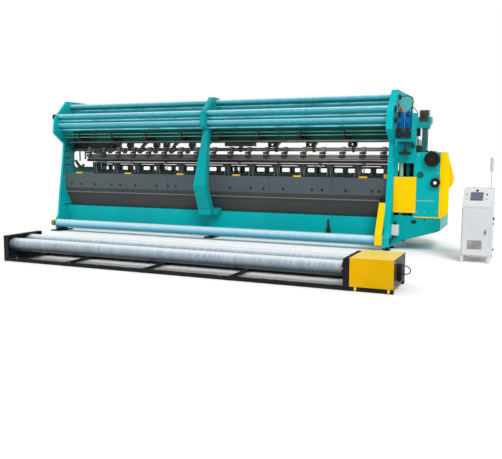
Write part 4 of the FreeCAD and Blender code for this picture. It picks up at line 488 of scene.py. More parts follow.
def grip_tape(roller, rgb, pitch, pale, underside_shade, lint_and_highlight):
    """Grip tape wound round a roller along X: paler turns, painted shade on its underside, and lint
    with a painted highlight on what faces up.
    """
    start, end = low(roller), high(roller)
    graph, shader = new_material(roller + "_tape")
    tape = group(graph, "Wound Tape", pitch=pitch, axis_y=(start.y + end.y) / 2,
                 axis_z=(start.z + end.z) / 2)
    grit = graph.noise(graph.place(), 240.0, 3.0)
    tone = graph.mix(graph.times(tape["Shade"], 0.45), opaque(rgb), opaque(pale))
    tone = graph.mix(graph.times(tape["Seam"], 0.75), tone, darker(rgb, 0.45))
    tone = graph.mix(graph.times(graph.band(grit, 0.55, 0.80), 0.2), tone, opaque(pale))
    up = graph.upward()
    # painted shade: the tape darkens to a deep colour where it faces down
    tone = graph.mix(graph.band(up, -0.75, 0.75), opaque(underside_shade), tone)
    # lint on what faces up, which also serves as a painted highlight
    tone = graph.mix(graph.times(graph.band(up, 0.45, 1.0), lint_and_highlight), tone, (0.84, 0.89, 0.91, 1))
    # bare steel at both ends, past the tape
    half = (end.x - start.x) / 2
    bare = graph.band(graph.away(graph.spot()["X"], (start.x + end.x) / 2), half - 0.020,
                      half - 0.016)
    graph.feed(shader.inputs["Base Color"], graph.mix(bare, tone, (0.30, 0.32, 0.33, 1)))
    graph.feed(shader.inputs["Roughness"], graph.math("MULTIPLY_ADD", grit, 0.25, 0.30))
    graph.feed(shader.inputs["Normal"],
               graph.bump(graph.math("MULTIPLY_ADD", grit, 0.2, tape["Height"]), 0.6, 0.0012))
    shader.inputs["Metallic"].default_value = 0.35
    dress(roller + "_tape", roller)


def menu_screen():
    """A glass front with faint rows of a menu behind it."""
    graph, shader = new_material("screen")
    rows = graph.math("FRACT", graph.times(graph.spot()["Z"], 60.0))
    lines = graph.times(graph.band(rows, 0.55, 0.65),
                        graph.band(graph.noise(graph.place(), 90.0, 0.0), 0.45, 0.52))
    graph.feed(shader.inputs["Base Color"],
               graph.mix(lines, (0.06, 0.06, 0.10, 1), (0.16, 0.17, 0.24, 1)))
    shader.inputs["Roughness"].default_value = 0.15
    shader.inputs["Coat Weight"].default_value = 0.6


def dress(material, *nodes):
    """Give CAD nodes a finish."""
    for node in nodes:
        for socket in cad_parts[node].material_slots:
            socket.material = MATERIALS[material]


# ---------------------------------------------------------------- paint that changes over a node


def picked(name):
    """A colour of the panel, as a shader takes it."""
    return opaque(getattr(bpy.context.scene.knitting_colours, name))


def paint_sump(graph):
    """Upright band, the darker sloping part as painted shade of a slope that faces down, and a
    painted highlight as the light line of the rail between.
    """
    height = graph.spot()["Z"]
    # painted shade on the sloping part below the fold
    trough_shade = graph.band(height, SUMP_FOLD_Z + 0.002, SUMP_FOLD_Z - 0.002)
    tone = graph.mix(trough_shade, picked("band"), picked("trough_shade"))
    # painted highlight: a light line along the rounded rail
    rail_highlight = graph.band(graph.away(height, BEAD_Z), 0.010, 0.007)
    return graph.mix(rail_highlight, tone, (0.19, 0.20, 0.20, 1))


def paint_beam_shade(graph):
    """Teal of the beams under the feed rollers with painted shade, darker further down."""
    # painted shade, deeper further down
    lower = graph.band(graph.spot()["Z"], 2.10, 1.98)
    return graph.mix(lower, (0.012, 0.25, 0.29, 1), (0.0, 0.045, 0.040, 1))


def paint_drive_box(graph):
    """Yellow drive box of the winder with a painted highlight on its top and a painted shadow, dark
    brown, on its right end.
    """
    spot = graph.spot()
    end = high("winder_drive_box")
    # painted highlight on the top face
    sides = graph.mix(graph.band(spot["Z"], end.z - 0.0012, end.z - 0.0008),
                      (0.66, 0.355, 0.0, 1), (0.92, 0.66, 0.12, 1))
    # painted shadow on the right end face
    return graph.mix(graph.band(spot["X"], end.x - 0.0011, end.x - 0.0009), sides,
                     (0.045, 0.038, 0.018, 1))


def paint_bars(graph):
    """Oiled steel, darker towards the left end, with bands of painted highlight and painted shade
    along the guide bars.
    """
    bars = bpy.context.scene.knitting_colours.bars
    spot = graph.spot()
    tone = graph.mix(graph.band(spot["X"], 0.2, 2.4), darker(bars, 0.95), darker(bars, 2.0))
    # bands up the guide bars: the pale ones are painted highlights, the dark ones painted shade
    # below and between the bars
    lines = (0.15, 0.15, 0.15, 1)
    for height, shade in ((1.440, 1.7), (1.453, 0.45), (1.474, 1.9), (1.481, 0.85),
                          (1.512, 0.35), (1.521, 1.5), (1.545, 1.0)):
        lines = graph.mix(graph.band(spot["Z"], height, height + 0.003), lines,
                          (shade, shade, shade, 1))
    return graph.mix(1.0, tone, lines, "MULTIPLY")


def paint_swing(graph):
    """Shaft and clamps in oiled steel, the arms below them darker."""
    arms = graph.band(graph.spot()["Z"], 1.592, 1.584)
    return graph.mix(arms, paint_bars(graph), (0.022, 0.032, 0.028, 1))


def paint_left_stand(graph):
    """Teal stand with painted shade on its inner side behind the knitting zone, deeper towards the
    back.
    """
    spot = graph.spot()
    inner = graph.times(graph.band(spot["X"], -3.2862, -3.2856), graph.band(spot["Z"], 2.05, 1.80),
                        graph.band(spot["Z"], 1.10, 1.20))
    # painted shade, deeper towards the back
    dark = graph.mix(graph.band(spot["Y"], 0.10, 0.45), (0.0, 0.20, 0.21, 1),
                     (0.0, 0.075, 0.070, 1))
    return graph.mix(inner, picked("teal"), dark)


def paint_right_stand(graph):
    """Teal stand with painted light on its front and painted shade on its outer side."""
    face = high("right_stand").x
    side = graph.band(graph.spot()["X"], face - 0.004, face - 0.003)
    # painted light on the front, painted shade on the outer side
    return graph.mix(side, (0.0, 0.43, 0.46, 1), (0.0, 0.34, 0.345, 1))


def paint_rails(graph):
    """Black winder rails with two yellow feet of the drive box on their front."""
    spot = graph.spot()
    feet = [graph.band(graph.away(spot["X"], x), 0.013, 0.012) for x in (3.670, 4.046)]
    mask = graph.times(graph.math("MAXIMUM", *feet), graph.band(spot["Y"], -3.6046, -3.6049),
                       graph.band(spot["Z"], 0.008, 0.010))
    return graph.mix(mask, picked("black"), (0.80, 0.55, 0.08, 1))


def paint_rods(graph):
    """Guide rods in the rollers' cyan, brightened as painted light of the gaps between the rollers,
    and duller tension rods below.
    """
    lower = graph.band(graph.spot()["Z"], 1.975, 1.965)
    # bright cyan above: painted light of the gaps between the rollers
    return graph.mix(lower, (0.20, 0.66, 0.70, 1), (0.20, 0.40, 0.29, 1))


def paint_stock(graph):
    """Teal head stock with a pale left spindle, painted shade inside and a dark adjusting bar."""
    spot = graph.spot()
    inside = graph.times(graph.band(spot["Y"], -0.030, -0.020), graph.band(spot["Z"], 1.560, 1.550),
                         graph.band(spot["X"], 3.418, 3.420), graph.band(spot["X"], 3.716, 3.714))
    spindle = graph.times(inside, graph.band(spot["Y"], 0.090, 0.088),
                          graph.band(spot["X"], 3.452, 3.454), graph.band(spot["X"], 3.528, 3.526))
    adjuster = graph.times(graph.band(spot["Y"], -0.0505, -0.0515),
                           graph.band(spot["Z"], 1.70, 1.71))
    # painted shade inside the head stock
    tone = graph.mix(inside, (0.0, 0.335, 0.345, 1), (0.0, 0.075, 0.065, 1))
    tone = graph.mix(spindle, tone, (0.36, 0.56, 0.46, 1))
    return graph.mix(adjuster, tone, (0.006, 0.030, 0.028, 1))


def paint_chain_guard(graph):
    """Yellow guard with a black chain case behind its top."""
    spot = graph.spot()
    case = graph.times(graph.band(spot["Z"], 0.7685, 0.7695),
                       graph.band(spot["Y"], -0.1315, -0.1305))
    return graph.mix(case, picked("yellow"), (0.010, 0.012, 0.012, 1))


def paint_box(graph):
    """Pale junction box with a black gland on top."""
    gland = graph.band(graph.spot()["Z"], 0.4152, 0.4158)
    return graph.mix(gland, picked("white"), (0.008, 0.009, 0.009, 1))


def paint_motors(graph):
    """Blue motors on dark gear units."""
    motor = graph.band(graph.spot()["Z"], 1.957, 1.959)
    return graph.mix(motor, (0.010, 0.030, 0.036, 1), picked("blue"))


def paint_pattern(graph):
    """Teal cradle, dark column below it and a grey-brown encoder case."""
    spot = graph.spot()
    column = graph.mix(graph.band(spot["Z"], 1.965, 1.969), (0.022, 0.095, 0.090, 1),
                       (0.0, 0.27, 0.26, 1))
    case = graph.times(graph.band(spot["Z"], 2.0595, 2.0605),
                       graph.band(spot["X"], 3.7655, 3.7665), graph.band(spot["X"], 3.9075, 3.9065))
    return graph.mix(case, column, (0.075, 0.058, 0.050, 1))


def paint_gearbox(graph):
    """Teal housing with a dark oil glass."""
    spot = graph.spot()
    across = graph.math("SUBTRACT", spot["X"], OIL_GLASS[0])
    up = graph.math("SUBTRACT", spot["Z"], OIL_GLASS[1])
    radius = graph.math("SQRT", graph.math("ADD", graph.times(across, across),
                                           graph.times(up, up)))
    glass = graph.times(graph.band(radius, 0.046, 0.045), graph.band(spot["Y"], -0.0495, -0.0505))
    return graph.mix(glass, picked("teal"), (0.008, 0.09, 0.10, 1))


# ---------------------------------------------------------------- modelling helpers


def meshes(count):
    """A number of empty bmeshes."""
    return [bmesh.new() for _ in range(count)]


def block(mesh, corner, other, bevel=0.0):
    """A box between two corners, with its edges rounded."""
    corner, other = Vector(corner), Vector(other)
    size = other - corner
    place = Matrix.Translation((corner + other) / 2) @ Matrix.Diagonal((*size, 1))
    made = bmesh.ops.create_cube(mesh, size=1.0, matrix=place)["verts"]
    if bevel:
        # each edge once, in the same order on every run
        edges = list(dict.fromkeys(edge for vert in made for edge in vert.link_edges))
        bmesh.ops.bevel(mesh, geom=edges, offset=bevel, segments=2, affect="EDGES", profile=0.5,
                        material=-1)


def bar(mesh, axis, at, radius, run, sides=24, end_radius=None):
    """A round bar from a point along an axis; a second radius makes it a cone."""
    last = radius if end_radius is None else end_radius
    place = Matrix.Translation(at) @ AXES[axis] @ Matrix.Translation((0, 0, run / 2))
    bmesh.ops.create_cone(mesh, cap_ends=True, segments=sides, radius1=radius, radius2=last,
                          depth=run, matrix=place)


def turned(mesh, axis, at, profile, sides=32):
    """A turned piece: profile is a list of (radius, distance) along an axis."""
    place = Matrix.Translation(at) @ AXES[axis]
    verts = [mesh.verts.new(place @ Vector((radius, 0, run))) for radius, run in profile]
    edges = [mesh.edges.new(pair) for pair in zip(verts, verts[1:])]
    bmesh.ops.spin(mesh, geom=verts + edges, cent=place.translation,
                   axis=place.to_3x3() @ Vector((0, 0, 1)), angle=math.tau, steps=sides,
                   use_merge=True, use_duplicate=False)


def bolt(mesh, axis, at, radius):
    """A hexagon head on its washer."""
    bar(mesh, axis, at, radius * 1.35, radius * 0.2, 16)
    top = Vector(at) + AXES[axis].to_3x3() @ Vector((0, 0, radius * 0.2))
    bar(mesh, axis, top, radius, radius * 0.6, 6, radius * 0.94)


def cap_screw(mesh, axis, at, radius):
    """A round socket screw with a dished head."""
    rise = radius * 0.55
    turned(mesh, axis, at, [(0, 0), (radius, 0), (radius, rise * 0.6), (radius * 0.8, rise),
                            (radius * 0.45, rise), (radius * 0.4, rise * 0.45),
                            (0, rise * 0.45)], 12)


def side_screws(mesh, face, spots, radius):
    """Socket screws on a face that looks along X; each spot is a y and a z."""
    for y, z in spots:
        cap_screw(mesh, "x", (face, y, z), radius)


def front_screws(mesh, face, spots, radius):
    """Socket screws on a face that looks at the operator; each spot is an x and a z."""
    for x, z in spots:
        cap_screw(mesh, "-y", (x, face, z), radius)


def plate(mesh, axis, points, start, end):
    """A flat plate between two places on an axis; its outline holds the other coordinates."""
    spots = {"x": lambda run, a, b: (run, a, b), "y": lambda run, a, b: (a, run, b)}
    near, far = [[mesh.verts.new(spots[axis](run, *point)) for point in points]
                 for run in (start, end)]
    mesh.faces.new(near)
    mesh.faces.new(far)
    for i in range(len(points)):
        following = (i + 1) % len(points)
        mesh.faces.new((near[i], near[following], far[following], far[i]))


def nurbs_line(name, points, radius, resolution):
    """A smooth round line with the points as its control points."""
    curve = bpy.data.curves.new(name, "CURVE")
    curve.dimensions = "3D"
    spline = curve.splines.new("NURBS")
    spline.points.add(len(points) - 1)
    for point, spot in zip(spline.points, points):
        point.co = (*spot, 1.0)
    spline.order_u = 3
    spline.use_endpoint_u = True
    spline.resolution_u = 12
    curve.bevel_depth = radius
    curve.bevel_resolution = resolution
    curve.use_fill_caps = True
    return curve


def cable(name, points, radius):
    """A short black cable fixed at both ends, as a mesh along a smooth line."""
    holder = bpy.data.objects.new(name + "_line", nurbs_line(name + "_line", points, radius, 2))
    mesh = bpy.data.meshes.new_from_object(holder)
    bpy.data.objects.remove(holder)
    mesh.name = name
    adopt(name, mesh, "rubber", "machine")


def adopt(name, mesh, material, body):
    """Make a mesh a piece of the machine: finish, smooth sides and body."""
    mesh.materials.clear()
    mesh.materials.append(MATERIALS[material])
    piece = bpy.data.objects.new(name, mesh)
    bpy.context.scene.collection.objects.link(piece)
    mesh.shade_smooth()
    mesh.set_sharp_from_angle(angle=math.radians(30))
    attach(piece, body)


def piece_from(name, mesh, material, body="machine"):
    """Close a bmesh into a piece."""
    bmesh.ops.remove_doubles(mesh, verts=mesh.verts, dist=1e-6)
    bmesh.ops.recalc_face_normals(mesh, faces=mesh.faces)
    data = bpy.data.meshes.new(name)
    mesh.to_mesh(data)
    mesh.free()
    adopt(name, data, material, body)


# ---------------------------------------------------------------- operators


class MakeFinishes(bpy.types.Operator):
    """Build the shader groups and the finishes, and dress every CAD node"""
    bl_idname = "knitting.make_finishes"
    bl_label = "Finishes"

    def execute(self, context):
        colours = context.scene.knitting_colours
        sizes = context.scene.knitting_sizes
        for make in (make_edge_group, make_dust_group, make_skin_group, make_wrap_group,
                     make_brushed_group):
            make()
        self.mix_enamels(colours, sizes.edge)
        self.mix_metals(colours)
        self.mix_plastics(colours)
        menu_screen()
        self.wind_tape(colours, sizes)
        for finish, nodes in NODE_FINISHES.items():
            dress(finish, *nodes)
        return {"FINISHED"}

    @staticmethod
    def mix_enamels(colours, edge):
        brown = (0.35, 0.25, 0.10)
        for name, paint in (("teal", colours.teal), ("beam", paint_beam_shade), ("stock", paint_stock),
                            # the strut's darker teal is painted shade
                            ("strut", (0.0, 0.295, 0.308)), ("dull_teal", (0.0, 0.315, 0.325)),
                            ("left_stand", paint_left_stand)):
            enamel(name, paint, edge, coarse=1.5, shine=COOL)
        enamel("right_stand", paint_right_stand, edge, coarse=1.5, shine=COOL, gloss=0.02)
        enamel("gearbox", paint_gearbox, edge, coarse=0.4, shine=COOL)
        enamel("pattern", paint_pattern, 0.002, shine=COOL)
        for name, paint in (("yellow", colours.yellow), ("chain_case", paint_chain_guard)):
            enamel(name, paint, edge, worn=brown, shine=WARM, gloss=0.03)
        enamel("cover", (0.93, 0.61, 0.0), edge, worn=(0.60, 0.42, 0.08), shine=WARM, gloss=0.0)
        enamel("caps", (0.74, 0.46, 0.02), edge, worn=(0.30, 0.22, 0.08), shine=WARM, gloss=0.05)
        # the drive box's worn edges are pale: edge wear that also paints highlights along its edges
        enamel("drive_box", paint_drive_box, edge, worn=(0.75, 0.62, 0.30), wear=0.6, shine=WARM,
               gloss=0.05)
        enamel("black", colours.black, edge, roughness=0.42, wear=0.5)
        enamel("rails", paint_rails, edge, roughness=0.42)
        enamel("white", colours.white, 0.003, roughness=0.45, worn=(0.40, 0.41, 0.43), wear=0.9,
               dust=0.03)
        enamel("box", paint_box, 0.003, roughness=0.45)
        enamel("blue", colours.blue, 0.002, shine=DEEP)
        enamel("motors", paint_motors, 0.002, shine=DEEP)
        enamel("band", paint_sump, 0.004, roughness=0.40)

    @staticmethod
    def mix_metals(colours):
        metal("casting", colours.casting, 0.002, metallic=0.25, oil=0.05)
        metal("steel", colours.steel, 0.001)
        metal("bars", colours.bars, 0.002, roughness=0.32, metallic=0.75, paint=paint_bars)
        metal("swing", colours.bars, 0.002, roughness=0.32, metallic=0.6, paint=paint_swing)
        metal("rods", colours.bars, 0.001, roughness=0.25, metallic=0.7, paint=paint_rods)
        metal("silver", (0.62, 0.62, 0.61), 0.002, roughness=0.36, metallic=0.85)

    @staticmethod
    def mix_plastics(colours):
        plastic("rubber", (0.012, 0.012, 0.013))
        plastic("green", (0.02, 0.16, 0.12))
        plastic("shade", (0.15, 0.155, 0.165))
        plastic("red", colours.red, 0.30)
        plastic("lamp", (0.50, 0.51, 0.52), 0.25)
        plastic("ivory", (0.74, 0.74, 0.70), 0.35)

    @staticmethod
    def wind_tape(colours, sizes):
        # each roller: tape colour, tape width, colour of the paler turns, painted shade for the
        # underside, and the amount of lint with painted highlight on top
        for row in (1, 2, 3):
            grip_tape(f"feed_roller_{row}", colours.feed_wrap, sizes.feed_pitch,
                      (0.30, 0.66, 0.74), (0.0, 0.21, 0.27), 0.80)
        for roller in ("fabric_roller", "take_down_roller"):
            grip_tape(roller, colours.fabric_wrap, sizes.feed_pitch, (0.60, 0.82, 0.90),
                      (0.02, 0.22, 0.34), 0.80)
        for row in (1, 2):
            grip_tape(f"winder_roller_{row}", colours.winder_wrap, sizes.winder_pitch,
                      (0.60, 0.68, 0.74), (0.040, 0.055, 0.072), 0.75)


class LayLead(bpy.types.Operator):
    """Lay the winder motor's lead and its two strain reliefs"""
    bl_idname = "knitting.lay_lead"
    bl_label = "Motor lead"

    def execute(self, context):
        line = nurbs_line("motor_lead", LEAD, LEAD_RADIUS, 4)
        line.materials.append(MATERIALS["rubber"])
        lead = bpy.data.objects.new("motor_lead", line)
        context.scene.collection.objects.link(lead)
        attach(lead, "machine")
        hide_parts("winder_motor_lead")
        mesh = bmesh.new()
        for end in (LEAD[0], LEAD[-1]):
            turned(mesh, "x", end, [(0, 0), (0.0115, 0), (0.0115, 0.004), (0.0095, 0.005),
                                    (0.0105, 0.008), (0.0085, 0.010), (0.0095, 0.013),
                                    (0.0078, 0.015), (0.0086, 0.018), (0.0072, 0.022),
                                    (0, 0.022)], 20)
        piece_from("lead_strain_reliefs", mesh, "rubber")
        return {"FINISHED"}


class MakeFasteners(bpy.types.Operator):
    """Screws, seams and fittings of the frame, the sump and the covers"""
    bl_idname = "knitting.make_fasteners"
    bl_label = "Screws and seams"

    def execute(self, context):
        sizes = context.scene.knitting_sizes
        self.fit_sump(sizes.bolt)
        self.fit_bearings()
        self.fit_covers(sizes.screw)
        self.fit_frame()
        return {"FINISHED"}

    @staticmethod
    def fit_sump(radius):
        """Screws and dark seams on the upright band."""
        face = low("sump_panel").y
        mesh = bmesh.new()
        front_screws(mesh, face, [(x, SUMP_SCREW_Z) for x in SUMP_SCREWS], radius)
        for x in SUMP_SEAMS:
            block(mesh, (x - 0.003, face - 0.0008, 0.875), (x + 0.003, face, 1.150))
        piece_from("sump_screws", mesh, "rubber")

    @staticmethod
    def fit_bearings():
        """Three screws and a ring on each flange bearing at the right, a collar at the left."""
        screws, rings = meshes(2)
        face = high("flange_bearings").x
        screw_circle = 0.036
        for y, z in BEARINGS:
            for i in range(3):
                turn = math.tau * (i / 3 + 0.08)
                cap_screw(screws, "x", (face, y + screw_circle * math.cos(turn),
                                        z + screw_circle * math.sin(turn)), 0.005)
            turned(rings, "x", (face, y, z), [(0.026, -0.004), (0.030, -0.004), (0.030, 0.003),
                                              (0.026, 0.003), (0.026, -0.004)], 24)
            turned(rings, "x", (LEFT_OUTER_FACE, y, z),
                   [(0.044, 0), (0.056, 0.002), (0.058, 0.006), (0.058, 0.030), (0.044, 0.032),
                    (0.044, 0)])
        piece_from("bearing_screws", screws, "silver")
        piece_from("bearing_rings", rings, "rubber")

    @staticmethod
    def fit_covers(radius):
        """Screws of the front panel, the side cover, the gearbox, the bracket and the guard."""
        mesh = bmesh.new()
        near, far = low("front_panel"), high("front_panel")
        inset = 0.022
        front_screws(mesh, near.y, [(x, z) for x in (near.x + inset, (near.x + far.x) / 2,
                                                     far.x - inset)
                                    for z in (near.z + inset, far.z - inset)], radius)
        side_screws(mesh, high("gearbox_side_cover").x,
                    [(0.02, 0.62), (0.02, 1.06), (0.02, 1.50), (0.50, 0.62), (0.98, 0.62),
                     (0.50, 1.52)], radius)
        front_screws(mesh, GEAR_FACE, [(3.894, 0.636), (3.775, 0.640), (3.775, 1.540),
                                       (4.085, 0.640), (4.085, 1.250)], 0.009)
        for y, z in ((0.10, 0.36), (0.95, 0.42), (0.10, 0.50), (0.95, 0.50)):
            bolt(mesh, "x", (high("stock_bracket").x, y, z), radius)
        side_screws(mesh, high("chain_guard").x, [(-0.36, 0.15), (-0.36, 0.62), (-0.20, 0.72)],
                    0.005)
        piece_from("cover_screws", mesh, "silver")

    @staticmethod
    def fit_frame():
        """A painted highlight along a seam under the gearbox, dark blocks of painted shadow under
        the gear tray, and the stopcock of the frame.
        """
        mesh = bmesh.new()
        proud = GEAR_FACE - 0.0012
        # painted highlight: a pale L-shaped line along the seam
        block(mesh, (3.761, proud, 0.8115), (4.053, GEAR_FACE, 0.8150))
        block(mesh, (3.9345, proud, 0.8150), (3.9375, GEAR_FACE, 0.8280))
        piece_from("gearbox_seam_highlight", mesh, "ivory")

        mesh = bmesh.new()
        # painted shadow: dark blocks under the gear tray
        block(mesh, (3.691, proud, 0.439), (3.773, GEAR_FACE, 0.497), 0.0005)
        block(mesh, (3.888, proud, 0.490), (3.910, GEAR_FACE, 0.520), 0.0005)
        plate(mesh, "y", [(2.250, 0.435), (2.276, 0.435), (2.276, 0.350), (2.300, 0.260),
                          (2.304, 0.192), (2.232, 0.192), (2.238, 0.260), (2.256, 0.350)],
              0.080, 0.100)
        bar(mesh, "-y", (2.264, 0.081, 0.405), 0.020, 0.030, 16)
        bar(mesh, "-y", (2.266, 0.081, 0.262), 0.036, 0.026, 20)
        piece_from("shadow_blocks_and_stopcock", mesh, "rubber")


class MakeKnittingZone(bpy.types.Operator):
    """Needles, guides, reed, clamps and hanger blocks between the stands"""
    bl_idname = "knitting.make_zone"
    bl_label = "Knitting zone"

    def execute(self, context):
        sizes = context.scene.knitting_sizes
        self.set_needles(sizes.needle_pitch)
        self.set_reed()
        self.set_clamps(sizes.screw)
        self.set_hangers()
        self.set_trick_plate()
        self.set_brackets()
        return {"FINISHED"}

    @staticmethod
    def set_needles(pitch):
        """Needles on the needle bar, and guides under the guide bars at twice their pitch."""
        start, end = low("needle_bar"), high("needle_bar")
        needles, front, rear = meshes(3)
        front_z, rear_z = low("guide_bar_front").z, low("guide_bar_rear").z
        for i in range(int((end.x - start.x - 0.02) / pitch)):
            x = start.x + 0.01 + i * pitch
            bar(needles, "z", (x, 0.339, end.z - 0.001), 0.0021, 0.034, 4, 0.0008)
            if i % 2:
                bar(front, "-z", (x, 0.145, front_z + 0.001), 0.0026, 0.024, 4, 0.0010)
                bar(rear, "-z", (x, 0.200, rear_z + 0.001), 0.0026, 0.022, 4, 0.0010)
        piece_from("needles", needles, "steel", "needles")
        piece_from("front_guides", front, "steel", "front_bar")
        piece_from("rear_guides", rear, "steel", "rear_bar")

    @staticmethod
    def set_reed():
        """Dents under the yarn reed."""
        dents = bmesh.new()
        near, far = low("yarn_reed"), high("yarn_reed")
        pitch = 0.024
        for i in range(int((far.x - near.x - 0.02) / pitch)):
            bar(dents, "-z", (near.x + 0.01 + i * pitch, 0.094, near.z + 0.001), 0.0030, 0.026, 4)
        piece_from("reed_dents", dents, "casting")

    @staticmethod
    def set_clamps(radius):
        """Screws and joints of the clamps, carriers between them, the bars' shoes and skirt."""
        screws, joints, rockers, shoes, skirt, carriers = meshes(6)
        for x in ARMS:
            for side in (-0.018, 0.018):
                for up in (-0.031, 0.031):
                    cap_screw(screws, "-y", (x + side, CLAMP_FACE, SWING_Z + up), radius)
            block(joints, (x - 0.0285, 0.2015, 1.6325), (x + 0.0285, 0.2040, 1.6355))
            block(rockers, (x - 0.056, 0.163, 1.552), (x + 0.056, 0.206, 1.590), 0.004)
            block(shoes, (x - 0.062, 0.176, 1.487), (x + 0.050, 0.186, 1.541), 0.003)
        for x in ARMS[:8]:
            middle = x + HALF_ARM_PITCH
            plate(carriers, "y", [(middle - 0.085, 1.652), (middle + 0.070, 1.652),
                                  (middle + 0.082, 1.610), (middle + 0.034, 1.596),
                                  (middle + 0.020, 1.556), (middle - 0.058, 1.556),
                                  (middle - 0.076, 1.604)], 0.182, 0.200)
            for across in (-0.048, 0.044):
                cap_screw(screws, "-y", (middle + across, 0.182, SWING_Z), radius)
        piece_from("guide_carriers", carriers, "casting", "swing")
        piece_from("clamp_screws", screws, "steel", "swing")
        piece_from("clamp_joints", joints, "rubber", "swing")
        piece_from("arm_rockers", rockers, "casting", "swing")
        piece_from("guide_bar_shoes", shoes, "casting", "rear_bar")
        near, far = low("guide_bar_rear"), high("guide_bar_rear")
        block(skirt, (near.x, near.y + 0.002, near.z - 0.040),
              (far.x, near.y + 0.006, near.z + 0.002), 0.001)
        piece_from("guide_bar_skirt", skirt, "bars", "rear_bar")

    @staticmethod
    def set_hangers():
        """Dark bearing blocks under the top beam and a stiffener at the left end."""
        blocks, screws = meshes(2)
        face, top = BLOCK_FACE, BEAM_UNDERSIDE
        for x in NARROW_BLOCKS:
            block(blocks, (x - 0.058, face, 1.682), (x + 0.058, 0.400, top), 0.004)
            block(blocks, (x - 0.040, 0.312, 1.662), (x + 0.040, 0.390, 1.684), 0.004)
        for x in WIDE_BLOCKS:
            for side in (-1, 1):
                block(blocks, (x + side * 0.050 - 0.032, face, 1.686),
                      (x + side * 0.050 + 0.032, 0.340, top), 0.004)
            block(blocks, (x - 0.072, face, 1.674), (x + 0.072, 0.340, 1.704), 0.004)
            block(blocks, (x - 0.082, 0.304, 1.738), (x + 0.082, 0.342, top), 0.004)
        for x in NARROW_BLOCKS + WIDE_BLOCKS:
            for across in (-0.040, 0.040):
                bolt(screws, "-y", (x + across, face, 1.748), 0.005)
        block(blocks, (-3.280, 0.330, 1.600), (-2.900, 0.400, top), 0.004)
        plate(blocks, "y", [(-2.901, top), (-2.285, top), (-2.285, 1.690), (-2.330, 1.664),
                            (-2.440, 1.672), (-2.500, 1.612), (-2.620, 1.606), (-2.700, 1.652),
                            (-2.780, 1.606), (-2.901, 1.606)], 0.336, 0.392)
        piece_from("hanger_blocks", blocks, "casting")
        piece_from("hanger_screws", screws, "silver")

    @staticmethod
    def set_trick_plate():
        """Ribs beside the arches, the light rail on top and the sinker lever rows behind."""
        ribs, levers = meshes(2)
        face = low("trick_plate").y
        for i in range(13):
            x = FIRST_PILLAR + ARCH_PITCH * i
            for side in (-1, 1):
                plate(ribs, "y", [(x + side * 0.014, 1.372), (x + side * 0.024, 1.372),
                                  (x + side * 0.030, 1.240), (x + side * 0.052, 1.162),
                                  (x + side * 0.036, 1.162), (x + side * 0.016, 1.240)],
                      face - 0.008, face)
        block(ribs, (low("trick_plate").x, face - 0.006, 1.375),
              (high("trick_plate").x, face, 1.385), 0.001)
        piece_from("trick_plate_ribs", ribs, "shade")
        for i in range(12):
            for across in (-0.120, 0.0, 0.120):
                x = FIRST_OPENING + ARCH_PITCH * i + across
                plate(levers, "x", [(0.262, 1.158), (0.292, 1.158), (0.286, 1.196),
                                    (0.268, 1.230), (0.258, 1.226)], x - 0.009, x + 0.009)
        piece_from("sinker_levers", levers, "green")

    @staticmethod
    def set_brackets():
        """Cast cladding, screws and feet of the tension brackets."""
        screws, feet, casts = meshes(3)
        for x in HOOKS:
            block(casts, (x - 0.023, -0.026, 1.850), (x + 0.023, 0.024, 1.954), 0.004)
            plate(casts, "x", [(-0.026, 1.852), (0.024, 1.852), (0.112, 1.797), (0.084, 1.797)],
                  x - 0.019, x + 0.019)
            for z in (1.875, 1.935):
                block(casts, (x - 0.016, 0.020, z - 0.017), (x + 0.016, 0.299, z + 0.017), 0.003)
                bolt(screws, "-y", (x, -0.026, z), 0.006)
            block(feet, (x + 0.016, 0.170, 1.800), (x + 0.056, 0.295, 1.840), 0.003)
        piece_from("bracket_screws", screws, "steel")
        piece_from("bracket_casts", casts, "casting")
        piece_from("bracket_feet", feet, "casting")


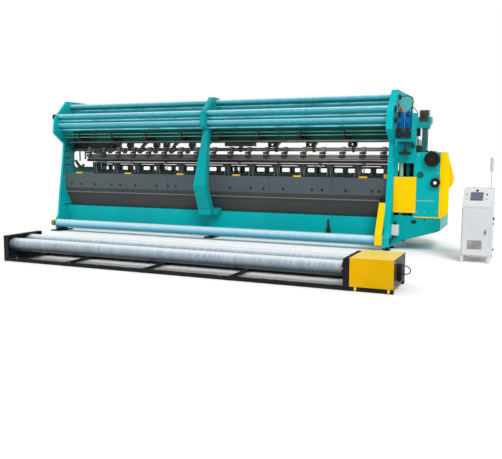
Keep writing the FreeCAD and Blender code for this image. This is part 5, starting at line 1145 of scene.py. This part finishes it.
class MakeDriveEnd(bpy.types.Operator):
    """Ribs, cables, wheels and fittings of the drive end"""
    bl_idname = "knitting.make_drive_end"
    bl_label = "Drive end"

    def execute(self, context):
        self.fit_motors()
        self.fit_wheels()
        self.fit_pattern_drive()
        self.fit_encoder()
        self.fit_cables()
        return {"FINISHED"}

    @staticmethod
    def fit_motors():
        """Ribs, caps, terminal boxes and screws of the two feed motors, and a red connector."""
        ribs, dark, screws, tip = meshes(4)
        face = FEED_MOTOR_FACE
        for x in FEED_MOTORS:
            for across in (-0.045, -0.030, -0.015, 0.0, 0.015, 0.030, 0.045):
                block(ribs, (x + across - 0.0018, -0.0640, 1.985),
                      (x + across + 0.0018, face, 2.130), 0.001)
            turned(ribs, "z", (x, 0.022, 2.219), [(0, 0), (0.050, 0), (0.050, 0.006),
                                                  (0.040, 0.022), (0, 0.024)], 24)
            block(dark, (x - 0.028, -0.0680, 2.140), (x + 0.028, face, 2.190), 0.003)
            block(dark, (x - 0.050, -0.0610, 1.944), (x + 0.050, -0.0575, 1.972), 0.001)
            front_screws(screws, -0.058, [(x + across, z) for across in (-0.042, 0.042)
                                          for z in (1.815, 1.930)], 0.006)
        piece_from("motor_ribs", ribs, "blue")
        piece_from("motor_terminals", dark, "rubber")
        piece_from("gear_unit_screws", screws, "silver")
        turned(tip, "z", (3.482, -0.062, 2.222), [(0, 0), (0.014, 0.002), (0.022, 0.020),
                                                  (0.022, 0.050), (0.014, 0.068), (0, 0.072)], 20)
        piece_from("lever_tip", tip, "red")

    @staticmethod
    def fit_wheels():
        """Hand wheel rim and hub, pulley hub, clamping knob and the oil glass's ring."""
        wheel, hub, knob, glass = meshes(4)
        centre = (HAND_WHEEL[0], low("hand_wheel").y, HAND_WHEEL[1])
        turned(wheel, "-y", centre, [(0.104, 0), (0.110, 0.005), (0.116, 0.005), (0.119, 0),
                                     (0.104, 0)], 48)
        turned(wheel, "-y", centre, [(0, 0), (0.028, 0), (0.026, 0.010), (0.010, 0.012),
                                     (0.010, 0.004), (0, 0.004)], 24)
        piece_from("hand_wheel_rim", wheel, "rubber", "turning_wheel")
        turned(hub, "-y", (FEED_PULLEY[0], low("feed_pulley").y, FEED_PULLEY[1]),
               [(0, 0), (0.026, 0), (0.026, 0.003), (0.018, 0.006), (0.008, 0.006),
                (0.008, 0.002), (0, 0.002)], 24)
        piece_from("pulley_hub", hub, "ivory", "pulley")
        turned(knob, "-y", (3.689, low("head_stock").y + 0.143, 1.685),
               [(0, 0), (0.006, 0), (0.006, 0.018), (0.024, 0.020), (0.030, 0.026),
                (0.030, 0.034), (0.022, 0.042), (0, 0.044)], 24)
        piece_from("clamping_knob", knob, "rubber")
        turned(glass, "-y", (OIL_GLASS[0], GEAR_FACE, OIL_GLASS[1]),
               [(0.040, 0), (0.050, 0), (0.050, 0.005), (0.046, 0.008), (0.040, 0.006),
                (0.040, 0)])
        piece_from("oil_glass_ring", glass, "rubber")

    @staticmethod
    def fit_pattern_drive():
        """Solenoid, indexing motor, the plate in the head stock's window and the chain."""
        side = high("head_stock").x
        solenoid, motor, guard, links = meshes(4)
        block(solenoid, (side, 0.040, 1.843), (side + 0.040, 0.125, 1.984), 0.006)
        piece_from("solenoid_case", solenoid, "casting")
        block(motor, (side + 0.002, -0.030, 1.590), (3.808, 0.070, 1.690), 0.006)
        for i in range(6):
            x = side + 0.010 + i * 0.011
            block(motor, (x, -0.034, 1.600), (side + 0.013 + i * 0.011, 0.074, 1.696))
        for x in (3.905, 3.925):
            bar(motor, "-z", (x, 0.020, low("pattern_drive").z + 0.420), 0.006, 0.060, 10)
        top = high("gearbox").z
        block(motor, (3.742, -0.020, top), (4.030, 0.120, top + 0.014), 0.004)
        for x in (3.830, 3.900, 3.965):
            bolt(motor, "z", (x, 0.010, top + 0.014), 0.014)
        piece_from("indexing_motor", motor, "rubber")
        block(guard, (3.424, 0.200, 1.120), (3.708, 0.206, 1.570), 0.001)
        for x in (3.590, 3.640, 3.682):
            bar(guard, "z", (x, 0.190, 1.125), 0.010, 0.440, 12)
        piece_from("spindle_guard", guard, "casting")
        for i in range(19):
            z = 2.010 - i * 0.014
            wide = 0.0045 if i % 2 else 0.0030
            block(links, (3.799 - wide, -0.0230, z - 0.0060), (3.799 + wide, -0.0170, z + 0.0060),
                  0.001)
        piece_from("pattern_chain", links, "ivory")

    @staticmethod
    def fit_encoder():
        """Fins and a round cap on the encoder's case."""
        case = bmesh.new()
        near, far = ENCODER
        for i in range(7):
            z = near.z + 0.030 + i * 0.018
            block(case, (near.x - 0.003, near.y - 0.003, z),
                  (far.x + 0.003, near.y + 0.002, z + 0.005), 0.001)
        turned(case, "-y", (3.832, near.y, 2.150), [(0, 0), (0.034, 0), (0.034, 0.010),
                                                    (0.026, 0.014), (0, 0.014)], 24)
        piece_from("encoder_fins", case, "rubber")

    @staticmethod
    def fit_cables():
        """Short cables between the motors, the encoder, the stand and the junction box."""
        cable("signal_cable", [(3.400, -0.040, 2.190), (3.396, -0.060, 2.250),
                               (3.405, -0.060, 2.330), (3.440, -0.055, 2.345),
                               (3.470, -0.055, 2.300), (3.470, -0.055, 2.195)], 0.006)
        cable("motor_cable", [(3.589, -0.050, 2.190), (3.600, -0.060, 2.260),
                              (3.640, -0.050, 2.300), (3.690, 0.000, 2.280),
                              (3.729, 0.060, 2.210)], 0.006)
        cable("left_motor_cable", [(3.452, -0.058, 2.205), (3.438, -0.066, 2.300),
                                   (3.428, -0.060, 2.390), (3.414, -0.030, 2.420)], 0.008)
        cable("right_motor_cable", [(3.632, -0.045, 2.215), (3.662, -0.060, 2.300),
                                    (3.664, -0.040, 2.440), (3.560, 0.060, 2.500),
                                    (3.414, 0.130, 2.480)], 0.008)
        cable("encoder_cable", [(3.775, -0.010, 2.130), (3.752, -0.030, 2.080),
                                (3.745, -0.030, 1.960), (3.750, -0.025, 1.820),
                                (3.762, -0.010, 1.696)], 0.005)
        cable("column_cable", [(3.880, -0.010, 2.120), (3.905, -0.020, 2.060),
                               (3.900, -0.010, 1.850), (3.890, 0.010, 1.700),
                               (3.872, 0.020, 1.592)], 0.005)
        cable("box_cable", [(3.412, -0.085, 0.242), (3.408, -0.086, 0.205),
                            (3.398, -0.074, 0.170), (3.392, -0.052, 0.150)], 0.007)


class MakeWinder(bpy.types.Operator):
    """Hubs, screws and motor fins of the winder"""
    bl_idname = "knitting.make_winder"
    bl_label = "Winder"

    def execute(self, context):
        for row, height, body in WINDER_ROLLERS:
            self.fit_hubs(row, height, body)
        self.fit_screws()
        self.fit_motor(context.scene.knitting_sizes.fins)
        return {"FINISHED"}

    @staticmethod
    def fit_hubs(row, height, body):
        """A dark hub at each end of a roller, the right one with four pale bolts."""
        roller = f"winder_roller_{row}"
        middle = (low(roller).y + high(roller).y) / 2
        hubs, bolts = meshes(2)
        turned(hubs, "x", (3.486, middle, height),
               [(0.086, 0), (0.101, 0.002), (0.104, 0.006), (0.104, 0.018), (0.098, 0.022),
                (0.030, 0.022), (0.030, 0.034), (0.024, 0.034), (0.024, 0.004), (0.086, 0.004),
                (0.086, 0)], 48)
        turned(hubs, "-x", (-1.366, middle, height),
               [(0.024, 0), (0.080, 0), (0.084, 0.004), (0.084, 0.014), (0.024, 0.014),
                (0.024, 0)], 40)
        piece_from(f"winder_hub_{row}", hubs, "rubber", body)
        bolt_circle = 0.1035
        for i in range(4):
            turn = math.radians(8 + 90 * i)
            spot = (3.498, middle - bolt_circle * math.cos(turn),
                    height + bolt_circle * math.sin(turn))
            turned(bolts, "-y" if i % 2 == 0 else "z", spot,
                   [(0, -0.002), (0.009, -0.002), (0.009, 0.004), (0.006, 0.006), (0, 0.006)], 12)
        piece_from(f"winder_hub_bolts_{row}", bolts, "ivory", body)

    @staticmethod
    def fit_screws():
        """Bolts of the left plate and the rail, and screws round the drive box."""
        screws = bmesh.new()
        plate_face = low("winder_left_plate").x
        for y in (-3.560, -3.390, -3.190, -2.945):
            for z in (0.080, 0.320):
                bolt(screws, "-x", (plate_face, y, z), 0.010)
        near, far = low("winder_drive_box"), high("winder_drive_box")
        columns = (near.x + 0.035, (near.x + far.x) / 2, far.x - 0.035)
        rows = (near.y + 0.035, far.y - 0.035)
        levels = (near.z + 0.030, far.z - 0.030)
        for x in columns:
            for y in rows:
                cap_screw(screws, "z", (x, y, far.z), 0.006)
            for z in levels:
                cap_screw(screws, "-y", (x, near.y, z), 0.0035)
        for y in rows:
            for z in levels:
                bolt(screws, "x", (far.x, y, z), 0.006)
        for i in range(11):
            bolt(screws, "z", (-1.250 + 0.46 * i, -3.575, high("winder_rails").z), 0.008)
        piece_from("winder_screws", screws, "silver")

    @staticmethod
    def fit_motor(count):
        """Cooling fins round the winder's motor and rings on its fan cover."""
        fins = bmesh.new()
        centre = Vector((0, *WINDER_MOTOR))
        for i in range(count):
            turn = math.tau * i / count
            out = Vector((0, math.cos(turn), math.sin(turn)))
            side = Vector((0, -math.sin(turn), math.cos(turn))) * 0.0014
            corners = [centre + out * 0.096 - side, centre + out * 0.104 - side,
                       centre + out * 0.104 + side, centre + out * 0.096 + side]
            plate(fins, "x", [(corner.y, corner.z) for corner in corners], 4.104, 4.138)
        for ring in (0.025, 0.042, 0.059, 0.076, 0.090):
            turned(fins, "x", (4.146, *WINDER_MOTOR),
                   [(ring - 0.003, -0.001), (ring + 0.003, -0.001), (ring + 0.003, 0.003),
                    (ring - 0.003, 0.003), (ring - 0.003, -0.001)], 36)
        piece_from("winder_motor_fins", fins, "rubber")


class MakeCabinet(bpy.types.Operator):
    """Grille, button rings, screen frame and fittings of the cabinet"""
    bl_idname = "knitting.make_cabinet"
    bl_label = "Control cabinet"

    def execute(self, context):
        self.fit_grille()
        self.fit_desk()
        self.fit_body()
        return {"FINISHED"}

    @staticmethod
    def fit_grille():
        """Bars of the grille on the door, with a dark plate behind them."""
        grille, back = meshes(2)
        door = low("cabinet_door").y
        near, far = GRILLE
        rows, columns = 9, 12
        for i in range(rows + 1):
            z = near.z + (far.z - near.z) * i / rows
            block(grille, (near.x, door - 0.0025, z - 0.0022), (far.x, door, z + 0.0022), 0.0006)
        for i in range(columns + 1):
            x = near.x + (far.x - near.x) * i / columns
            block(grille, (x - 0.0018, door - 0.0022, near.z), (x + 0.0018, door, far.z), 0.0006)
        piece_from("door_grille", grille, "silver", "door")
        block(back, (near.x, door - 0.0008, near.z), (far.x, door, far.z), 0.0003)
        piece_from("door_grille_back", back, "shade", "door")

    def fit_desk(self):
        """A ring round each button and a frame round the screen."""
        rings, frames = meshes(2)
        for name in ("start_button", "jog_button", "stop_button", "reset_button",
                     "selector_knob"):
            wide = 0.019 if name == "selector_knob" else 0.013
            turned(rings, "slope", self.on_slope(name),
                   [(wide, 0), (wide + 0.009, 0), (wide + 0.007, 0.004), (wide, 0.004),
                    (wide, 0)], 28)
        piece_from("button_rings", rings, "silver")
        self.slope_frame(frames, self.on_slope("screen"), 0.088, 0.082, 0.012)
        piece_from("screen_frame", frames, "shade")

    @staticmethod
    def fit_body():
        """Cable glands, the main switch's plate and two bands on the signal lamp."""
        glands, plates = meshes(2)
        corner = high("cabinet_body")
        turned(glands, "z", (4.667, -0.421, corner.z), [(0, 0), (0.010, 0), (0.010, 0.006),
                                                        (0.006, 0.012), (0, 0.012)], 16)
        turned(glands, "x", (corner.x, -0.360, 0.130), [(0, 0), (0.016, 0), (0.016, 0.006),
                                                        (0.011, 0.010), (0.011, 0.020),
                                                        (0, 0.020)], 20)
        piece_from("cabinet_glands", glands, "rubber")
        switch = (low("main_switch") + high("main_switch")) / 2
        half = 0.032
        block(plates, (corner.x, switch.y - half, switch.z - half),
              (corner.x + 0.0008, switch.y + half, switch.z + half), 0.0003)
        for z in (1.395, 1.440):
            turned(plates, "z", (4.910, -0.600, z), [(0.024, 0), (0.0248, 0.001), (0.0248, 0.004),
                                                     (0.024, 0.005), (0.024, 0)])
        piece_from("switch_plate", plates, "silver")

    @staticmethod
    def on_slope(node):
        """The point on the desk's slope nearest to a node's middle."""
        spot = (low(node) + high(node)) / 2
        edge = Vector((0, low("cabinet_body").y + 0.2615, high("cabinet_body").z))
        normal = Vector((0, -1, 1)).normalized()
        return spot - normal * (spot - edge).dot(normal)

    @staticmethod
    def slope_frame(mesh, middle, half_width, half_rise, wide):
        """A thin frame on the slope round a point."""
        up = Vector((0, 1, 1)).normalized()
        normal = Vector((0, -1, 1)).normalized()
        right = Vector((1, 0, 0))
        outer = [(-half_width, -half_rise), (half_width, -half_rise), (half_width, half_rise),
                 (-half_width, half_rise)]
        rings = []
        for inset, raise_by in ((0, 0), (0, 0.003), (wide, 0.003), (wide, 0)):
            rings.append([mesh.verts.new(middle + right * (a - math.copysign(inset, a))
                                         + up * (b - math.copysign(inset, b))
                                         + normal * raise_by) for a, b in outer])
        for first, second in zip(rings, rings[1:] + rings[:1]):
            for i in range(4):
                mesh.faces.new((first[i], first[(i + 1) % 4], second[(i + 1) % 4], second[i]))


class MakeLeftEnd(bpy.types.Operator):
    """Ribs, ledge, hanging rods, levers and collar at the left stand"""
    bl_idname = "knitting.make_left_end"
    bl_label = "Left end"

    def execute(self, context):
        inner = high("left_stand").x
        ribs, rods, collar, levers = meshes(4)
        for z in (1.72, 1.60, 1.47, 1.33):
            block(levers, (inner, 0.015, z - 0.008), (inner + 0.008, 0.180, z + 0.008), 0.002)
        block(ribs, (inner, -0.123, 0.537), (inner + 0.026, 0.150, 0.584), 0.004)
        for y in (-0.065, 0.091):
            block(ribs, (inner, y - 0.014, 0.240), (inner + 0.018, y + 0.014, 0.540), 0.003)
        piece_from("stand_ribs", ribs, "teal")
        rod_y, rod_top = 0.312, 1.758
        for x, lowest in ((-3.144, 1.420), (-3.008, 1.455)):
            bar(rods, "-z", (x, rod_y, rod_top), 0.014, rod_top - lowest, 14)
            turned(rods, "-z", (x, rod_y, lowest + 0.006), [(0, 0), (0.018, 0), (0.020, 0.012),
                                                            (0.012, 0.022), (0, 0.024)], 16)
        bar(rods, "x", (-2.990, rod_y, 1.575), 0.006, 0.210, 10)
        piece_from("tension_weights", rods, "casting")
        plate(levers, "y", [(-3.205, 1.412), (-3.170, 1.432), (-3.140, 1.400), (-3.100, 1.352),
                            (-3.040, 1.300), (-2.985, 1.346), (-2.958, 1.340), (-2.975, 1.288),
                            (-2.775, 1.288), (-2.775, 1.230), (-3.075, 1.230), (-3.150, 1.330)],
              0.205, 0.225)
        piece_from("stop_levers", levers, "casting")
        turned(collar, "x", (low("flange_bearings").x + 0.001, -0.250, 0.160),
               [(0.044, 0), (0.050, 0.001), (0.052, 0.004), (0.052, 0.040), (0.044, 0.044),
                (0.044, 0)])
        piece_from("roller_collar", collar, "yellow")
        return {"FINISHED"}


class SetStage(bpy.types.Operator):
    """Put up the floor, the lights and the camera"""
    bl_idname = "knitting.set_stage"
    bl_label = "Studio and camera"

    def execute(self, context):
        studio = context.scene.knitting_studio
        self.lay_floor()
        self.light_world(context.scene, studio.sky)
        self.hang_sun(context.scene, studio.sun)
        self.aim_camera(context.scene, studio)
        context.scene.view_settings.view_transform = "Standard"
        return {"FINISHED"}

    @staticmethod
    def lay_floor():
        """A pale floor that keeps the machine's soft shadow."""
        mesh = bmesh.new()
        bmesh.ops.create_grid(mesh, x_segments=1, y_segments=1, size=60)
        data = bpy.data.meshes.new("studio_floor")
        mesh.to_mesh(data)
        mesh.free()
        floor = bpy.data.objects.new("studio_floor", data)
        bpy.context.scene.collection.objects.link(floor)
        material = bpy.data.materials.new("studio_floor")
        material.use_nodes = True
        graph = Graph(material.node_tree)
        shader = material.node_tree.nodes["Principled BSDF"]
        graph.feed(shader.inputs["Base Color"],
                   graph.mix(graph.noise(graph.place(), 0.6, 3.0), (0.92, 0.92, 0.92, 1),
                             (0.95, 0.95, 0.95, 1)))
        shader.inputs["Roughness"].default_value = 0.9
        data.materials.append(material)

    @staticmethod
    def light_world(scene, strength):
        """Even light from all round; the camera, glossy and clear surfaces see white."""
        world = bpy.data.worlds.new("studio")
        world.use_nodes = True
        scene.world = world
        graph = Graph(world.node_tree)
        background = world.node_tree.nodes["Background"]
        ray = graph.add("LightPath").outputs
        seen = graph.math("MAXIMUM", ray["Is Camera Ray"],
                          graph.math("MAXIMUM", ray["Is Glossy Ray"],
                                     ray["Is Transmission Ray"]))
        graph.feed(background.inputs["Color"], (1, 1, 1, 1))
        graph.feed(background.inputs["Strength"],
                   graph.math("MULTIPLY_ADD", seen, 1.0 - strength, strength))

    @staticmethod
    def hang_sun(scene, strength):
        """A high soft light from the right front."""
        sun = bpy.data.lights.new("high_light", "SUN")
        sun.energy = strength
        sun.angle = math.radians(25)
        lamp = bpy.data.objects.new("high_light", sun)
        lamp.rotation_euler = Vector((0.54, -0.74, 0.88)).to_track_quat("Z", "Y").to_euler()
        scene.collection.objects.link(lamp)

    @staticmethod
    def aim_camera(scene, studio):
        """The camera that was solved from the machine's long parallel edges."""
        lens = bpy.data.cameras.new("photo_camera")
        lens.sensor_width = 36
        lens.lens = studio.lens
        lens.clip_end = 200
        camera = bpy.data.objects.new("photo_camera", lens)
        turn = Euler((math.pi / 2 - studio.tilt, 0, studio.pan)).to_matrix()
        turn = turn @ Matrix.Rotation(studio.roll, 3, "Z")
        camera.matrix_world = Matrix.Translation(studio.place) @ turn.to_4x4()
        scene.collection.objects.link(camera)
        scene.camera = camera


STEPS = (SetStage, MakeFinishes, LayLead, MakeFasteners, MakeKnittingZone, MakeDriveEnd,
         MakeWinder, MakeCabinet, MakeLeftEnd)
SETTINGS = {
    "knitting_colours": KnittingColours,
    "knitting_sizes": KnittingSizes,
    "knitting_studio": KnittingStudio,
}


class KnittingPanel(bpy.types.Panel):
    """Lists the steps and their settings"""
    bl_idname = "VIEW3D_PT_knitting"
    bl_label = "Net knitting machine"
    bl_space_type = "VIEW_3D"
    bl_region_type = "UI"
    bl_category = "Knitting"

    def draw(self, context):
        layout = self.layout
        for step in STEPS:
            layout.operator(step.bl_idname)
        for key in SETTINGS:
            settings = getattr(context.scene, key)
            box = layout.box()
            for name in settings.__annotations__:
                box.prop(settings, name)


CLASSES = (*SETTINGS.values(), *STEPS, KnittingPanel)


def register():
    for item in CLASSES:
        bpy.utils.register_class(item)
    for key, settings in SETTINGS.items():
        setattr(bpy.types.Scene, key, PointerProperty(type=settings))


def unregister():
    for key in SETTINGS:
        delattr(bpy.types.Scene, key)
    for item in reversed(CLASSES):
        bpy.utils.unregister_class(item)


def main():
    register()
    for step in STEPS:
        area, name = step.bl_idname.split(".")
        getattr(getattr(bpy.ops, area), name)()


if __name__ == "__main__":
    main()
